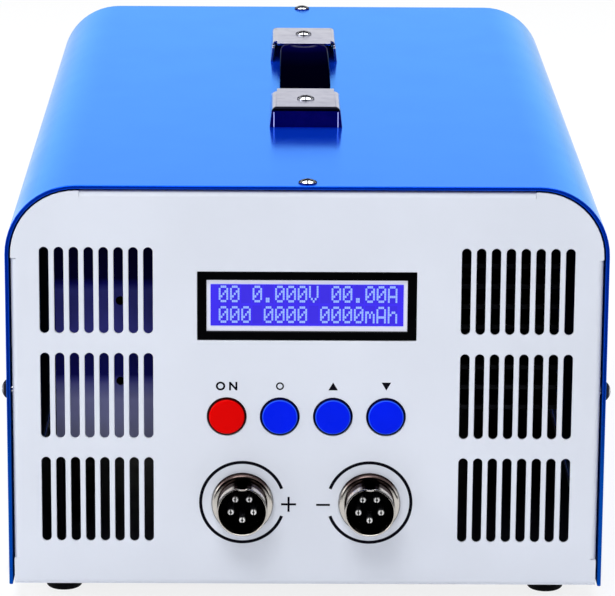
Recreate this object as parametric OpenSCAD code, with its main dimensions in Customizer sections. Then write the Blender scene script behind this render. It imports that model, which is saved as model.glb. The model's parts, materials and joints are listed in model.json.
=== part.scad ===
// Bench battery capacity tester: a white folded chassis under a blue cover,
// with a display, four keys and two five-pin sockets on the front,
// two fans, a mains inlet and a rocker switch on the back, and a strap handle on top.
// Front is -Y, up is +Z, and the feet stand on Z = 0. All sizes are in millimetres.

/* [Case] */
// Width over the cover
case_w = 190; // [186:1:230]
// Height from the chassis underside to the top of the cover
case_h = 131.5; // [129:0.5:160]
// Length of the cover and chassis
case_l = 320; // [312:1:380]
// Sheet thickness of the cover
cover_t = 1.2; // [0.8:0.1:1.6]
// Outer radius of the cover's two long corners
cover_r = 22.5; // [16:0.5:28]
// Gap between the cover and the chassis edges
cover_gap = 0.6; // [0.3:0.1:0.8]
// Sheet thickness of the chassis
panel_t = 1.2; // [0.8:0.1:1.6]
// Inside radius of the chassis bends
bend_inner = 0.8; // [0.4:0.1:1.6]
// Depth of the flanges that carry the cover
flange_d = 12; // [10:0.5:16]
// Distance of the cover screws from the case ends
screw_edge = 5; // [4.4:0.1:6]
// Height of the side screws above the chassis underside
side_screw_z = 64; // [50:1:80]

/* [Feet] */
// Height of a foot
foot_h = 7; // [5.5:0.5:10]
// Radius of a foot where it meets the chassis
foot_r = 6.8; // [6:0.1:9]
// Radius of a foot at its resting face
foot_base_r = 5.8; // [5.2:0.1:6]
// Distance of the feet from the sides of the case
foot_inset_x = 16.5; // [12:0.5:20]
// Distance of the feet from the ends of the case
foot_inset_y = 20; // [14:0.5:24]

/* [Vents] */
// Width of a vent slot
slot_w = 3; // [2:0.1:3.6]
// Length of a vent slot
slot_l = 28.1; // [20:0.1:30]
// Spacing of the slots in a row
slot_pitch = 4.67; // [4.3:0.01:4.8]
// Slots in a row
slot_count = 8; // [4:1:8]
// Rows in a bank
row_count = 3; // [1:1:3]
// Spacing of the rows
row_pitch = 34.4; // [32:0.1:36]
// Height of the lowest row's centre
row_z = 28.8; // [22:0.1:32]
// Distance of the outer slot from the panel's edge
slot_edge = 10.5; // [8:0.1:12]

/* [Display] */
// Width of the display cut-out
window_w = 69.2; // [66:0.1:72]
// Height of the display cut-out
window_h = 22.4; // [20:0.1:24]
// Height of the display's centre
window_z = 92.7; // [88:0.1:96]
// Width of the black frame's side bars
bezel_bar_x = 2.9; // [2:0.1:4]
// Height of the black frame's top and bottom bars
bezel_bar_z = 2.8; // [1.5:0.1:4]
// Depth of the display module behind its face
display_d = 7.2; // [5:0.1:8]
// Width of the lit screen
screen_w = 60.8; // [50:0.1:61]
// Height of the lit screen
screen_h = 13.5; // [10:0.1:14.2]
// Height of the screen's centre over the display's centre
screen_rise = 0.2; // [0:0.1:0.8]
// Width of the display's circuit board
display_board_w = 80; // [76:0.5:82]
// Height of the display's circuit board
display_board_h = 36; // [32:0.5:37]

/* [Keys] */
// Spacing of the keys
key_pitch = 16.84; // [15:0.01:19]
// Height of the row of keys
key_z = 56.5; // [54:0.1:60]
// Radius of a key cap
key_r = 5.9; // [4.6:0.1:6.2]
// Gap between a key cap and its hole
key_gap = 0.4; // [0.2:0.05:0.6]
// How far a cap stands out of the panel
key_proud = 0.7; // [0.5:0.1:1.5]
// Bevel round a cap's face
key_bevel = 0.7; // [0.2:0.1:0.8]
// Travel of a key
key_travel = 0.4; // [0.2:0.05:0.5]
// Length of a key cap
key_l = 6.4; // [5:0.1:6.6]

/* [Sockets] */
// Spacing of the two sockets
socket_pitch = 40.5; // [36:0.1:46]
// Height of the sockets
socket_z = 28; // [24:0.1:32]
// Radius of the coupling barrel
barrel_r = 8; // [7.6:0.05:8.4]
// Wall of the coupling barrel
barrel_wall = 0.5; // [0.4:0.05:1]
// How far the barrel stands out of the panel
socket_reach = 10.5; // [9:0.1:13]
// Radius of the socket flange
collar_r = 9.9; // [9.6:0.1:11]
// Thickness of the socket flange
collar_t = 2.5; // [1.8:0.1:3]
// Length of the threaded body behind the panel face
body_l = 9; // [7:0.1:11]
// Radius of the pin circle
pin_circle_r = 3.8; // [3.4:0.05:4.2]
// Radius of a pin
pin_r = 1; // [0.7:0.05:1.05]
// Length of a pin in front of the insulator
pin_l = 8.5; // [7:0.1:9.4]
// How far the pin tips lie behind the barrel's rim
pin_recess = 3.4; // [2:0.1:3.6]

/* [Handle] */
// Length of the handle over its end caps
handle_l = 148; // [136:1:170]
// How far the handle's middle lies behind the case's middle
handle_shift = 2; // [0:0.5:6]
// Length of an end cap
cap_l = 32; // [28:0.5:36]
// Width of an end cap at its foot
cap_w = 24.4; // [22:0.1:26]
// How far each side of an end cap leans in
cap_lean = 0.8; // [0.2:0.1:1]
// Height of an end cap
cap_h = 7; // [6.4:0.1:8]
// Radius of the bends along an end cap's top
cap_bend_r = 1.8; // [1.3:0.1:2.4]
// Sheet thickness of an end cap
cap_t = 0.8; // [0.6:0.1:1.2]
// Distance of the handle screws from the outer ends
handle_screw_in = 14; // [12:0.5:15]
// Width of the strap
strap_w = 17.5; // [15.5:0.1:18]
// Thickness of the strap
strap_t = 3; // [2.4:0.1:3.4]
// Rise of the strap's middle over its ends
strap_arch = 1; // [0.6:0.1:1.6]
// Length of the strap's stiff grip
grip_l = 36; // [28:1:44]
// Radius of the strap's shoulders
strap_shoulder_r = 3.5; // [1.2:0.1:5]

/* [Fans] */
// Size of a fan over its round duct
fan_size = 80; // [78:0.5:82]
// Depth of a fan frame
fan_d = 25; // [20:0.5:30]
// Thickness of the two flanges of a fan frame
fan_flange_t = 4; // [3:0.1:6]
// Spacing of a fan's screw holes
fan_hole_pitch = 71.5; // [70:0.1:72]
// Gap between the two fans
fan_gap = 2; // [1:0.5:5]
// Height of the fans' centres
fan_z = 78; // [76:0.5:82]
// Blades on a rotor
blade_count = 7; // [5:1:9]
// Gap between the blade tips and the frame
blade_gap = 1; // [0.6:0.1:2]
// Radius of a rotor hub
hub_r = 17; // [14:0.5:20]
// Wire radius of a fan guard
guard_wire_r = 0.8; // [0.6:0.05:0.9]
// How far the guards stand out of the back
guard_reach = 6; // [5.8:0.1:8]

/* [Back panel] */
// Distance of the mains inlet's centre from the panel's edge
inlet_edge = 43.2; // [40:0.1:50]
// Height of the mains inlet's centre
inlet_z = 18.4; // [17.8:0.1:19]
// Distance of the rocker switch from the middle
rocker_x = 8; // [0:0.5:12]
// Half the angle that the rocker swings through
rocker_tilt = 9; // [6:0.5:10]
// Distance of the data socket's centre from the panel's edge
data_edge = 47.2; // [40:0.1:54]

/* [Inside] */
// Thickness of the circuit boards
board_t = 1.6; // [1:0.1:2]
// Depth of the control board behind the front face
control_y = 14; // [13.6:0.1:15]
// Width of the main board
board_w = 56; // [50:0.5:60]
// Length of the main board
board_l = 190; // [180:1:200]
// Height of the main board over the floor
standoff_h = 6.8; // [5:0.1:8]
// Gap between the main board and what stands on either side of it
board_gap = 3; // [2:0.1:4]
// Width of the power supply
supply_w = 48; // [40:0.5:49]
// Height of the power supply
supply_h = 76; // [66:0.5:77]
// Length of the power supply
supply_l = 190; // [160:1:200]
// Height of the power supply's underside
supply_z = 40; // [38:0.5:41]
// Depth of the power supply behind the front face
supply_y = 28; // [22:0.5:36]
// Fins on the heat sink
fin_count = 11; // [6:1:13]
// Thickness of a fin
fin_t = 1.5; // [1:0.1:2]
// Length of the heat sink
sink_l = 236; // [180:1:240]

/* [Hidden] */
$fn = 48;

// Shared fits
slip = 0.05;
clear = 0.2;
eps = 0.01;

// Chassis panel outline
panel_w = case_w - 2 * (cover_t + cover_gap);
panel_h = case_h - cover_t - cover_gap;
panel_r = cover_r - cover_t - cover_gap;
bend_r = bend_inner + panel_t;
rear_in = case_l - panel_t;
relief = 1;
side_flange_z = 9;
side_flange_top = panel_h - panel_r - relief;
top_flange_half = panel_w / 2 - panel_r - relief;

// The case's front face lies here in the part's frame
case_y = -(case_l + guard_reach - socket_reach) / 2;

// Screws
m3_r = 1.5;
m3_head_r = 2.9;
m3_head_h = 1.9;
m3_nut_r = 3.1;
m3_nut_h = 2.4;
m4_r = 2;
m4_head_h = 2.4;
handle_screw_over = 4;
head_rim = 0.4;
cross_share = 0.55;
cross_w = 0.7;
cross_depth = 0.9;
cover_screw_over = 1.2;
foot_screw_over = 2;
stud_over = 1.6;

// Feet
foot_edge = 0.6;
foot_well_r = 3.6;
foot_floor = 2.5;
foot_well_h = foot_h - foot_floor;

// Handle
handle_front = case_l / 2 + handle_shift - handle_l / 2;
cap_lean_a = atan(cap_lean / cap_h);
cap_bend_z = cap_h - cap_bend_r;
cap_bend_x = cap_w / 2 - (cap_bend_r + cap_bend_z * sin(cap_lean_a)) / cos(cap_lean_a);
cap_flap_r = 1.2;
cap_notch_l = 5;
cap_seam = 0.3;
strap_end_gap = 1;
strap_span = handle_l - 2 * cap_l - 2 * strap_end_gap;
strap_top = cap_h;
strap_arc_r = (pow(strap_span / 2, 2) + pow(strap_arch, 2)) / (2 * strap_arch);
strap_edge_r = 1.1;
tongue_w = 13;
tongue_t = 1.6;
tongue_l = 24;
tongue_lift = 0.3;
tongue_slot = 6;
tongue_gap = 0.3;
strap_mid_y = handle_front + handle_l / 2;

// Display
bezel_clear = 0.2;
bezel_t = 0.5;
bezel_face = 0.2;
screen_t = 0.5;
display_back = bezel_face + display_d;
display_hole_in = 2.5;
display_screw_r = 1.3;
spacer_r = 2.4;

// Control board
control_w = 92;
control_low = 46;
control_high = 111;
stud_in = 3.5;
stud_r = 2.4;
switch_side = 12;
switch_h = 4.3;
plunger_r = 3.4;
plunger_grip = 2;
plunger_seat = 1;

// Sockets
collar_chamfer = 0.7;
rim_chamfer = 0.2;
keyway_r = 5;
keyway_depth = 0.5;
keyway_z = barrel_r + keyway_r - keyway_depth;
socket_bore_r = barrel_r - barrel_wall;
nut_across = 19;
nut_t = 2.5;
pin_base = pin_recess + pin_l - socket_reach;
pin_tip = 0.4;
pin_slit_w = 0.3;
pin_slit_l = 3;
pin_bore_r = 0.4;
insert_rear = 12;
cup_l = 4;
cup_wall = 0.4;

// Fans
fan_y = rear_in - fan_d;
fan_hole_edge = 4.25;
fan_flange_w = fan_hole_pitch + 2 * fan_hole_edge;
fan_x = (max(fan_size, fan_flange_w) + fan_gap) / 2;
fan_hole_r = 2.2;
fan_corner_r = 4;
fan_throat_r = fan_size / 2 - 1.4;
fan_body_r = fan_size / 2 - 0.2;
fan_screw_l = 12;
fan_head_r = 4.2;
shaft_r = 1.5;
motor_r = 15;
strut_w = 4;
strut_d = 3;
hub_l = 15;
rotor_gap = 0.8;
blade_inset = 2;
blade_l = fan_d - strut_d - 2 * blade_inset;
blade_arc_r = 32;
blade_t = 1.4;
guard_rings = 5;
guard_pitch = 6.9;
guard_eye_r = 3.6;

// Back panel furniture
inlet_x = panel_w / 2 - inlet_edge;
inlet_flange_w = 48;
inlet_flange_h = 30;
inlet_flange_t = 2.6;
inlet_body_w = 28;
inlet_body_h = 29;
inlet_body_l = 24;
inlet_mouth_w = 24.5;
inlet_mouth_h = 16.6;
inlet_mouth_d = 16.5;
inlet_mouth_drop = 5;
inlet_ear_pitch = 40;
inlet_cut = 5;
contact_pitch = 7;
contact_t = 2;
contact_w = 4;
contact_step = 2;
contact_back = 3.5;
contact_tab = 6;
drawer_w = 22;
drawer_h = 7;
drawer_l = 17;
drawer_rise = 9.2;
drawer_wall = 1.5;
drawer_lip_w = 9;
drawer_lip = 1.4;
switch_w = 15;
switch_tall = 21;
switch_z = 18.4;
switch_body_l = 17;
rocker_w = 10.6;
rocker_tall = 16.4;
rocker_pin_r = 1.2;
rocker_pin_y = -3;
data_x = panel_w / 2 - data_edge;
data_w = 12;
data_h = 10.9;
data_l = 16;
data_wall = 0.5;
data_proud = 0.6;
data_tongue_w = 5.6;
data_tongue_t = 3.2;
data_z = 15;

// Inside
board_x0 = -board_w / 2 - 2;
board_x1 = board_x0 + board_w;
supply_x = board_x0 - board_gap - supply_w;
board_y0 = 60;
board_z = panel_t + standoff_h;
board_top = board_z + board_t;
standoff_in = 4.5;
standoff_r = 3.2;
can_r = 8;
can_h = 25;
can_in = 20;
can_y = 70;
can_pitch = 22;
chip_w = 16;
chip_h = 20;
chip_t = 5;
chip_lift = 6;
chip_y = 40;
chip_pitch = 34;
leg_w = 1.2;
leg_pitch = 5;
leg_reach = 2.2;
sink_base_x = board_x1 + board_gap;
sink_base_t = 6;
sink_side_gap = 8;
sink_fin_reach = panel_w / 2 - panel_t - sink_side_gap;
sink_y = 45;
sink_fin_z0 = 46;
sink_fin_z1 = 116;
supply_t = 1;
supply_hole_r = 1.5;
supply_hole_off = 3;
supply_hole_z = 20;
supply_hole_pitch = 27;
terminal_edge = 6;
terminal_rise = 10;
terminal_h = 14;
terminal_l = 14;
terminal_proud = 5;
terminal_ways = 5;
terminal_slot = 4.6;
terminal_floor = 2;
bracket_t = 1.2;
bracket_in = 12;
bracket_foot = 9;
lead_r = 2;
lead_side = 2.6;
lead_bend = 12;
lead_y = 78;
ribbon_w = 20;
ribbon_t = 1;
ribbon_z = 60;
ribbon_bend = 8;
ribbon_y = 88;
plug_side = 2;
plug_t = 8;
plug_h = 6;

// Moves a piece from the case's own frame into the part's frame
module in_case() {
    translate([0, case_y, foot_h]) children();
}

// Extrudes an X-Z outline backwards, from y to y + depth
module slab(y, depth) {
    translate([0, y + depth, 0]) rotate([90, 0, 0]) linear_extrude(depth) children();
}

// A cylinder along +Y whose front end lies at y
module rod(x, y, z, r, l) {
    translate([x, y, z]) rotate([-90, 0, 0]) cylinder(r = r, h = l);
}

// A box given by its middle in X and Z, its front face and its size
module block(x, y, z, size) {
    translate([x - size[0] / 2, y, z - size[2] / 2]) cube(size);
}

// An outline with a flat foot and two round upper corners
module arch_outline(w, h, r) {
    translate([-w / 2, 0]) square([w, h - r]);
    translate([-w / 2 + r, 0]) square([w - 2 * r, h]);
    for (side = [-1, 1]) translate([side * (w / 2 - r), h - r]) circle(r);
}

// A rectangle centred on the origin with four round corners
module round_rect(w, h, r) {
    square([w - 2 * r, h], center = true);
    square([w, h - 2 * r], center = true);
    for (sx = [-1, 1], sy = [-1, 1]) translate([sx * (w / 2 - r), sy * (h / 2 - r)]) circle(r);
}

// An upright slot with round ends, centred on the origin
module slot_shape(w, l) {
    square([w, l - w], center = true);
    for (end = [-1, 1]) translate([0, end * (l - w) / 2]) circle(w / 2);
}

// A quarter of a folded bend, in the quadrant of -X and -Y
module bend_section() {
    intersection() {
        difference() {
            circle(bend_r);
            circle(bend_inner);
        }
        translate([-bend_r, -bend_r]) square(bend_r);
    }
}

// A pan-head screw that points down, with its head's seat at z = 0
module pan_screw(r, head_r, head_h, l) {
    dome_r = (pow(head_r, 2) + pow(head_h, 2)) / (2 * head_h) + head_rim;
    translate([0, 0, -l]) cylinder(r = r, h = l);
    difference() {
        intersection() {
            cylinder(r = head_r, h = head_h);
            translate([0, 0, head_h - dome_r]) sphere(dome_r);
        }
        for (turn = [0, 90]) rotate(turn) {
            translate([-head_r * cross_share, -cross_w / 2, head_h - cross_depth])
                cube([head_r * 2 * cross_share, cross_w, cross_depth + 1]);
        }
    }
}

// One end wall with its flanges, at the front of the case. Children are its cut-outs.
module end_wall() {
    slab(0, panel_t) difference() {
        arch_outline(panel_w, panel_h, panel_r);
        translate([-panel_w, -1]) square([2 * panel_w, 1 + bend_r]);
        translate([-top_flange_half, panel_h - bend_r]) square([2 * top_flange_half, bend_r + 1]);
        for (side = [-1, 1]) translate([side * panel_w / 2 - bend_r, side_flange_z])
            square([2 * bend_r, side_flange_top - side_flange_z]);
        children();
    }
    top_flange();
    side_flange();
    mirror([1, 0, 0]) side_flange();
}

module top_flange() {
    difference() {
        translate([-top_flange_half, 0, 0]) {
            translate([0, bend_r, panel_h - bend_r]) rotate([90, 0, 90])
                linear_extrude(2 * top_flange_half) mirror([0, 1]) bend_section();
            translate([0, bend_r, panel_h - panel_t])
                cube([2 * top_flange_half, flange_d - bend_r, panel_t]);
        }
        translate([0, screw_edge, panel_h - panel_t - 1]) cylinder(r = m3_r + slip, h = panel_t + 2);
    }
}

module side_flange() {
    tall = side_flange_top - side_flange_z;
    difference() {
        union() {
            translate([panel_w / 2 - bend_r, bend_r, side_flange_z])
                linear_extrude(tall) mirror([1, 0]) bend_section();
            translate([panel_w / 2 - panel_t, bend_r, side_flange_z])
                cube([panel_t, flange_d - bend_r, tall]);
        }
        translate([panel_w / 2 - panel_t - 1, screw_edge, side_screw_z]) rotate([0, 90, 0])
            cylinder(r = m3_r + slip, h = panel_t + 2);
    }
}

// Both banks of front vents
module vent_slots() {
    for (side = [-1, 1], row = [0 : row_count - 1], column = [0 : slot_count - 1])
        translate([side * (panel_w / 2 - slot_edge - column * slot_pitch), row_z + row * row_pitch])
            slot_shape(slot_w, slot_l);
}

module front_cutouts() {
    vent_slots();
    translate([-window_w / 2, window_z - window_h / 2]) square([window_w, window_h]);
    for (key = [0 : 3]) translate([key_x(key), key_z]) circle(key_r + key_gap);
    for (side = [-1, 1]) translate([side * socket_pitch / 2, socket_z]) circle(barrel_r + clear / 2);
}

module rear_cutouts() {
    for (side = [-1, 1]) translate([side * fan_x, fan_z]) {
        circle(fan_throat_r);
        for (sx = [-1, 1], sz = [-1, 1])
            translate([sx * fan_hole_pitch / 2, sz * fan_hole_pitch / 2]) circle(m4_r + clear);
    }
    translate([-inlet_x, inlet_z]) {
        square([inlet_body_w + 2 * clear, inlet_body_h - 2 + 2 * clear], center = true);
        for (side = [-1, 1]) translate([side * inlet_ear_pitch / 2, 0]) circle(m3_r + slip);
    }
    translate([rocker_x, switch_z])
        square([switch_w - 2 + 2 * clear, switch_tall - 2 + 2 * clear], center = true);
    translate([data_x, data_z]) square([data_w + 2 * clear, data_h + 2 * clear], center = true);
}

function foot_places() = [for (sx = [-1, 1], end = [0, 1])
    [sx * (case_w / 2 - foot_inset_x), end == 0 ? foot_inset_y : case_l - foot_inset_y]];

module chassis() color("#d9deee") in_case() {
    difference() {
        translate([-panel_w / 2, bend_r, 0]) cube([panel_w, case_l - 2 * bend_r, panel_t]);
        for (place = foot_places()) translate([place[0], place[1], -1])
            cylinder(r = m3_r + slip, h = panel_t + 2);
    }
    for (end = [0, 1]) translate([0, end * case_l, 0]) mirror([0, end, 0])
        translate([-panel_w / 2, bend_r, bend_r]) rotate([90, 0, 90])
            linear_extrude(panel_w) bend_section();
    end_wall() front_cutouts();
    translate([0, case_l, 0]) mirror([0, 1, 0]) end_wall() rear_cutouts();
}

module cover() color("#2f7fe8") in_case() difference() {
    slab(0, case_l) difference() {
        arch_outline(case_w, case_h, cover_r);
        translate([0, -1])
            arch_outline(case_w - 2 * cover_t, case_h - cover_t + 1, cover_r - cover_t);
    }
    for (y = [screw_edge, case_l - screw_edge]) {
        translate([0, y, case_h - cover_t - 1]) cylinder(r = m3_r + clear, h = cover_t + 2);
        translate([-case_w / 2 - 1, y, side_screw_z]) rotate([0, 90, 0])
            cylinder(r = m3_r + clear, h = case_w + 2);
    }
    for (y = handle_screw_ys()) translate([0, y, case_h - cover_t - 1])
        cylinder(r = m3_r + clear, h = cover_t + 2);
}

module cover_screws() color("#c9ccd2") in_case() {
    l = cover_t + cover_gap + panel_t + cover_screw_over;
    for (y = [screw_edge, case_l - screw_edge]) {
        translate([0, y, case_h]) pan_screw(m3_r, m3_head_r, m3_head_h, l);
        for (side = [-1, 1]) translate([side * case_w / 2, y, side_screw_z])
            rotate([0, side * 90, 0]) rotate(45) pan_screw(m3_r, m3_head_r, m3_head_h, l);
    }
}

module feet() color("#15161a") for (place = foot_places())
    translate([place[0], case_y + place[1], 0]) difference() {
        union() {
            translate([0, 0, foot_edge]) cylinder(r1 = foot_base_r, r2 = foot_r, h = foot_h - foot_edge);
            cylinder(r1 = foot_base_r - foot_edge, r2 = foot_base_r, h = foot_edge);
        }
        translate([0, 0, -1]) cylinder(r = foot_well_r, h = foot_well_h + 1);
        cylinder(r = m3_r + slip, h = foot_h + 1);
    }

module foot_screws() color("#b9bcc2") for (place = foot_places())
    translate([place[0], case_y + place[1], foot_well_h]) rotate([180, 0, 0])
        pan_screw(m3_r, m3_head_r, m3_head_h, foot_floor + panel_t + foot_screw_over);

// Handle screws, front and rear, in the case's own frame
function handle_screw_ys() = [handle_front + handle_screw_in,
    handle_front + handle_l - handle_screw_in];

// Cross-section of an end cap, drawn in by the wall w: its sides lean in and bend round into its top
module cap_section(w) {
    side_x = cap_bend_x + (cap_bend_r - w) * cos(cap_lean_a);
    side_z = cap_bend_z + (cap_bend_r - w) * sin(cap_lean_a);
    foot = side_x + (side_z + 1) * tan(cap_lean_a);
    polygon([[-foot, -1], [foot, -1], [side_x, side_z], [cap_bend_x, cap_h - w],
        [-cap_bend_x, cap_h - w], [-side_x, side_z]]);
    for (side = [-1, 1]) translate([side * cap_bend_x, cap_bend_z]) circle(cap_bend_r - w);
}

// A folded end cap: the end flap hangs between two seams, and the side bends stop at notches by the strap
module end_cap() difference() {
    intersection() {
        slab(0, cap_l) cap_section(0);
        translate([-cap_w, -1, 0]) cube([2 * cap_w, cap_l + 2, cap_h + 1]);
    }
    slab(cap_t, cap_l) cap_section(cap_t);
    for (side = [-1, 1]) {
        translate([side * (cap_w / 2 - cap_t - cap_lean + cap_seam / 2) - cap_seam / 2, -1, -1])
            cube([cap_seam, cap_t + 1 + eps, cap_bend_z + 1]);
        translate([side * cap_bend_x - (side < 0 ? cap_w : 0), cap_l - cap_notch_l, cap_bend_z])
            cube([cap_w, cap_notch_l + 1, cap_bend_r + 1]);
    }
    difference() {
        translate([-cap_w, -1, cap_h - cap_flap_r]) cube([2 * cap_w, 1 + cap_flap_r, 1 + cap_flap_r]);
        translate([-cap_w - 1, cap_flap_r, cap_h - cap_flap_r]) rotate([0, 90, 0])
            cylinder(r = cap_flap_r, h = 2 * cap_w + 2);
    }
    translate([0, handle_screw_in, 0]) cylinder(r = m3_r + clear, h = cap_h + 1);
}

module handle_front_cap() color("#d4d6dc") in_case()
    translate([0, handle_front, case_h]) end_cap();

module handle_rear_cap() color("#d4d6dc") in_case()
    translate([0, handle_front + handle_l, case_h]) mirror([0, 1, 0]) end_cap();

module handle_screws() color("#c9ccd2") in_case()
    for (y = handle_screw_ys()) translate([0, y, case_h + cap_h])
        pan_screw(m3_r, m3_head_r, m3_head_h, cap_h + cover_t + handle_screw_over);

module handle_nuts() color("#b9bcc2") in_case()
    for (y = handle_screw_ys()) translate([0, y, case_h - cover_t - m3_nut_h]) difference() {
        cylinder(r = m3_nut_r, h = m3_nut_h, $fn = 6);
        translate([0, 0, -1]) cylinder(r = m3_r + slip, h = m3_nut_h + 2);
    }

// A stretch of the arched strap between two distances from its middle
module strap_arc(y0, y1) {
    a0 = asin(y0 / strap_arc_r);
    a1 = asin(y1 / strap_arc_r);
    mid_r = strap_arc_r - strap_t / 2;
    translate([0, strap_mid_y, case_h + strap_top + strap_arch - strap_arc_r])
        rotate([0, -90, 0]) rotate(a0) rotate_extrude(angle = a1 - a0, $fn = 360)
            translate([mid_r, 0]) round_rect(strap_t, strap_w, strap_edge_r);
}

module strap_grip() color("#0d0e12") in_case() strap_arc(-grip_l / 2, grip_l / 2);

// One flexible strap end: the strap with its round shoulders, and the slotted tongue in the end cap
module strap_flex() {
    tongue_z = case_h + strap_top - strap_t + tongue_lift;
    screw_y = handle_screw_ys()[0];
    hole_r = m3_r + tongue_gap;
    intersection() {
        strap_arc(-strap_span / 2, -grip_l / 2);
        translate([0, strap_mid_y, case_h]) linear_extrude(3 * cap_h)
            round_rect(strap_w + 2 * eps, strap_span, strap_shoulder_r);
    }
    difference() {
        translate([-tongue_w / 2, strap_mid_y - strap_span / 2 - tongue_l, tongue_z])
            cube([tongue_w, tongue_l + strap_shoulder_r, tongue_t]);
        for (end = [-1, 1]) translate([0, screw_y + end * tongue_slot / 2, tongue_z - 1])
            cylinder(r = hole_r, h = tongue_t + 2);
        translate([-hole_r, screw_y - tongue_slot / 2, tongue_z - 1])
            cube([2 * hole_r, tongue_slot, tongue_t + 2]);
    }
}

module strap_front_flex() color("#0d0e12") in_case() strap_flex();

module strap_rear_flex() color("#0d0e12") in_case()
    translate([0, 2 * strap_mid_y, 0]) mirror([0, 1, 0]) strap_flex();

// The frame round the display, which fills the cut-out
module display_bezel() color("#060709") in_case() slab(bezel_face, display_d)
    difference() {
        translate([0, window_z]) square([bezel_w(), bezel_h()], center = true);
        translate([0, window_z]) square([inner_w(), inner_h()], center = true);
    }

function bezel_w() = window_w - 2 * bezel_clear;
function bezel_h() = window_h - 2 * bezel_clear;
function inner_w() = window_w - 2 * bezel_bar_x;
function inner_h() = window_h - 2 * bezel_bar_z;

module display_screen() color("#3b2ff0") in_case() slab(bezel_face + bezel_t, screen_t)
    translate([0, window_z + screen_rise]) square([screen_w, screen_h], center = true);

module display_backlight() color("#eef0fb") in_case()
    block(0, bezel_face + bezel_t + screen_t, window_z,
        [inner_w() - 2 * slip, display_d - bezel_t - screen_t, inner_h() - 2 * slip]);

// Centres of the display board's corner holes
function display_holes() = [for (sx = [-1, 1], sz = [-1, 1])
    [sx * (display_board_w / 2 - display_hole_in), window_z + sz * (display_board_h / 2 - display_hole_in)]];

module display_board() color("#1d5c35") in_case() slab(display_back, board_t) difference() {
    translate([0, window_z]) square([display_board_w, display_board_h], center = true);
    for (hole = display_holes()) translate(hole) circle(display_screw_r);
}

module display_spacers() color("#c8a85a") in_case() for (hole = display_holes())
    difference() {
        rod(hole[0], display_back + board_t, hole[1], spacer_r, control_y - display_back - board_t);
        rod(hole[0], display_back, hole[1], display_screw_r, control_y);
    }

// Centres of the control board's stud holes
function stud_places() = [for (sx = [-1, 1], z = [control_low + stud_in, control_high - stud_in])
    [sx * (control_w / 2 - stud_in), z]];

module control_board() color("#1d5c35") in_case() slab(control_y, board_t) difference() {
    translate([-control_w / 2, control_low]) square([control_w, control_high - control_low]);
    for (place = stud_places()) translate(place) circle(m3_r + slip);
    for (hole = display_holes()) translate(hole) circle(display_screw_r);
}

// Welded studs behind the front panel, with their shoulders and nuts
module board_studs() color("#c3c6cc") in_case() for (place = stud_places()) {
    rod(place[0], panel_t, place[1], m3_r, control_y - panel_t + board_t + m3_nut_h + stud_over);
    rod(place[0], panel_t, place[1], stud_r, control_y - panel_t);
    translate([place[0], control_y + board_t, place[1]]) rotate([-90, 0, 0])
        cylinder(r = m3_nut_r, h = m3_nut_h, $fn = 6);
}

function key_x(key) = (key - 1.5) * key_pitch;
switch_face = control_y - switch_h;
key_back = key_l - key_proud;
plunger_l = switch_face + plunger_seat - key_back + plunger_grip;

module key_switches() color("#22242a") in_case() for (key = [0 : 3]) difference() {
    block(key_x(key), switch_face, key_z, [switch_side, switch_h, switch_side]);
    rod(key_x(key), switch_face - 1, key_z, plunger_r + slip, 1 + plunger_seat + key_travel + clear);
}

// One key cap, with a socket for its plunger
module key_cap(key) difference() {
    union() {
        rod(key_x(key), key_bevel - key_proud, key_z, key_r, key_l - key_bevel);
        translate([key_x(key), -key_proud, key_z]) rotate([-90, 0, 0])
            cylinder(r1 = key_r - key_bevel, r2 = key_r, h = key_bevel);
    }
    rod(key_x(key), key_back - plunger_grip, key_z, plunger_r + slip, plunger_grip + 1);
}

module key_plunger(key) rod(key_x(key), key_back - plunger_grip, key_z, plunger_r, plunger_l);

module on_key() color("#e00a0a") in_case() key_cap(0);
module set_key() color("#0b22e6") in_case() key_cap(1);
module up_key() color("#0b22e6") in_case() key_cap(2);
module down_key() color("#0b22e6") in_case() key_cap(3);
module on_plunger() color("#22242a") in_case() key_plunger(0);
module set_plunger() color("#22242a") in_case() key_plunger(1);
module up_plunger() color("#22242a") in_case() key_plunger(2);
module down_plunger() color("#22242a") in_case() key_plunger(3);

// The plated shell of a socket: flange, threaded body, and a barrel pressed in along its top as a key
module socket_shell(side) translate([side * socket_pitch / 2, 0, socket_z]) difference() {
    union() {
        rotate([90, 0, 0]) cylinder(r = collar_r, h = collar_t - collar_chamfer);
        translate([0, collar_chamfer - collar_t, 0]) rotate([90, 0, 0])
            cylinder(r1 = collar_r, r2 = collar_r - collar_chamfer, h = collar_chamfer);
        rod(0, rim_chamfer - socket_reach, 0, barrel_r, socket_reach + body_l - rim_chamfer);
        translate([0, -socket_reach, 0]) rotate([-90, 0, 0])
            cylinder(r1 = barrel_r - rim_chamfer, r2 = barrel_r, h = rim_chamfer);
    }
    difference() {
        rod(0, -socket_reach - 1, 0, socket_bore_r, socket_reach + body_l + 2);
        rod(0, -socket_reach - 2, keyway_z, keyway_r + barrel_wall, socket_reach + 2 + pin_base - clear);
    }
    rod(0, -socket_reach - 1, keyway_z, keyway_r, socket_reach + 1 - collar_t);
}

module socket_insert(side) difference() {
    rod(side * socket_pitch / 2, pin_base, socket_z, socket_bore_r - slip, insert_rear - pin_base);
    for (pin = [0 : 4]) socket_pin(side, pin, pin_r + slip, pin_base - 1, insert_rear + 1);
}

// Where the tip of one of five pins stands
function pin_tip_place(side, pin) = [side * socket_pitch / 2 + pin_circle_r * cos(pin * 72 - 90),
    pin_recess - socket_reach, socket_z + pin_circle_r * sin(pin * 72 - 90)];

// A round along one of the pins, from y0 to y1
module socket_pin(side, pin, r, y0, y1) {
    tip = pin_tip_place(side, pin);
    rod(tip[0], y0, tip[2], r, y1 - y0);
}

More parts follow.
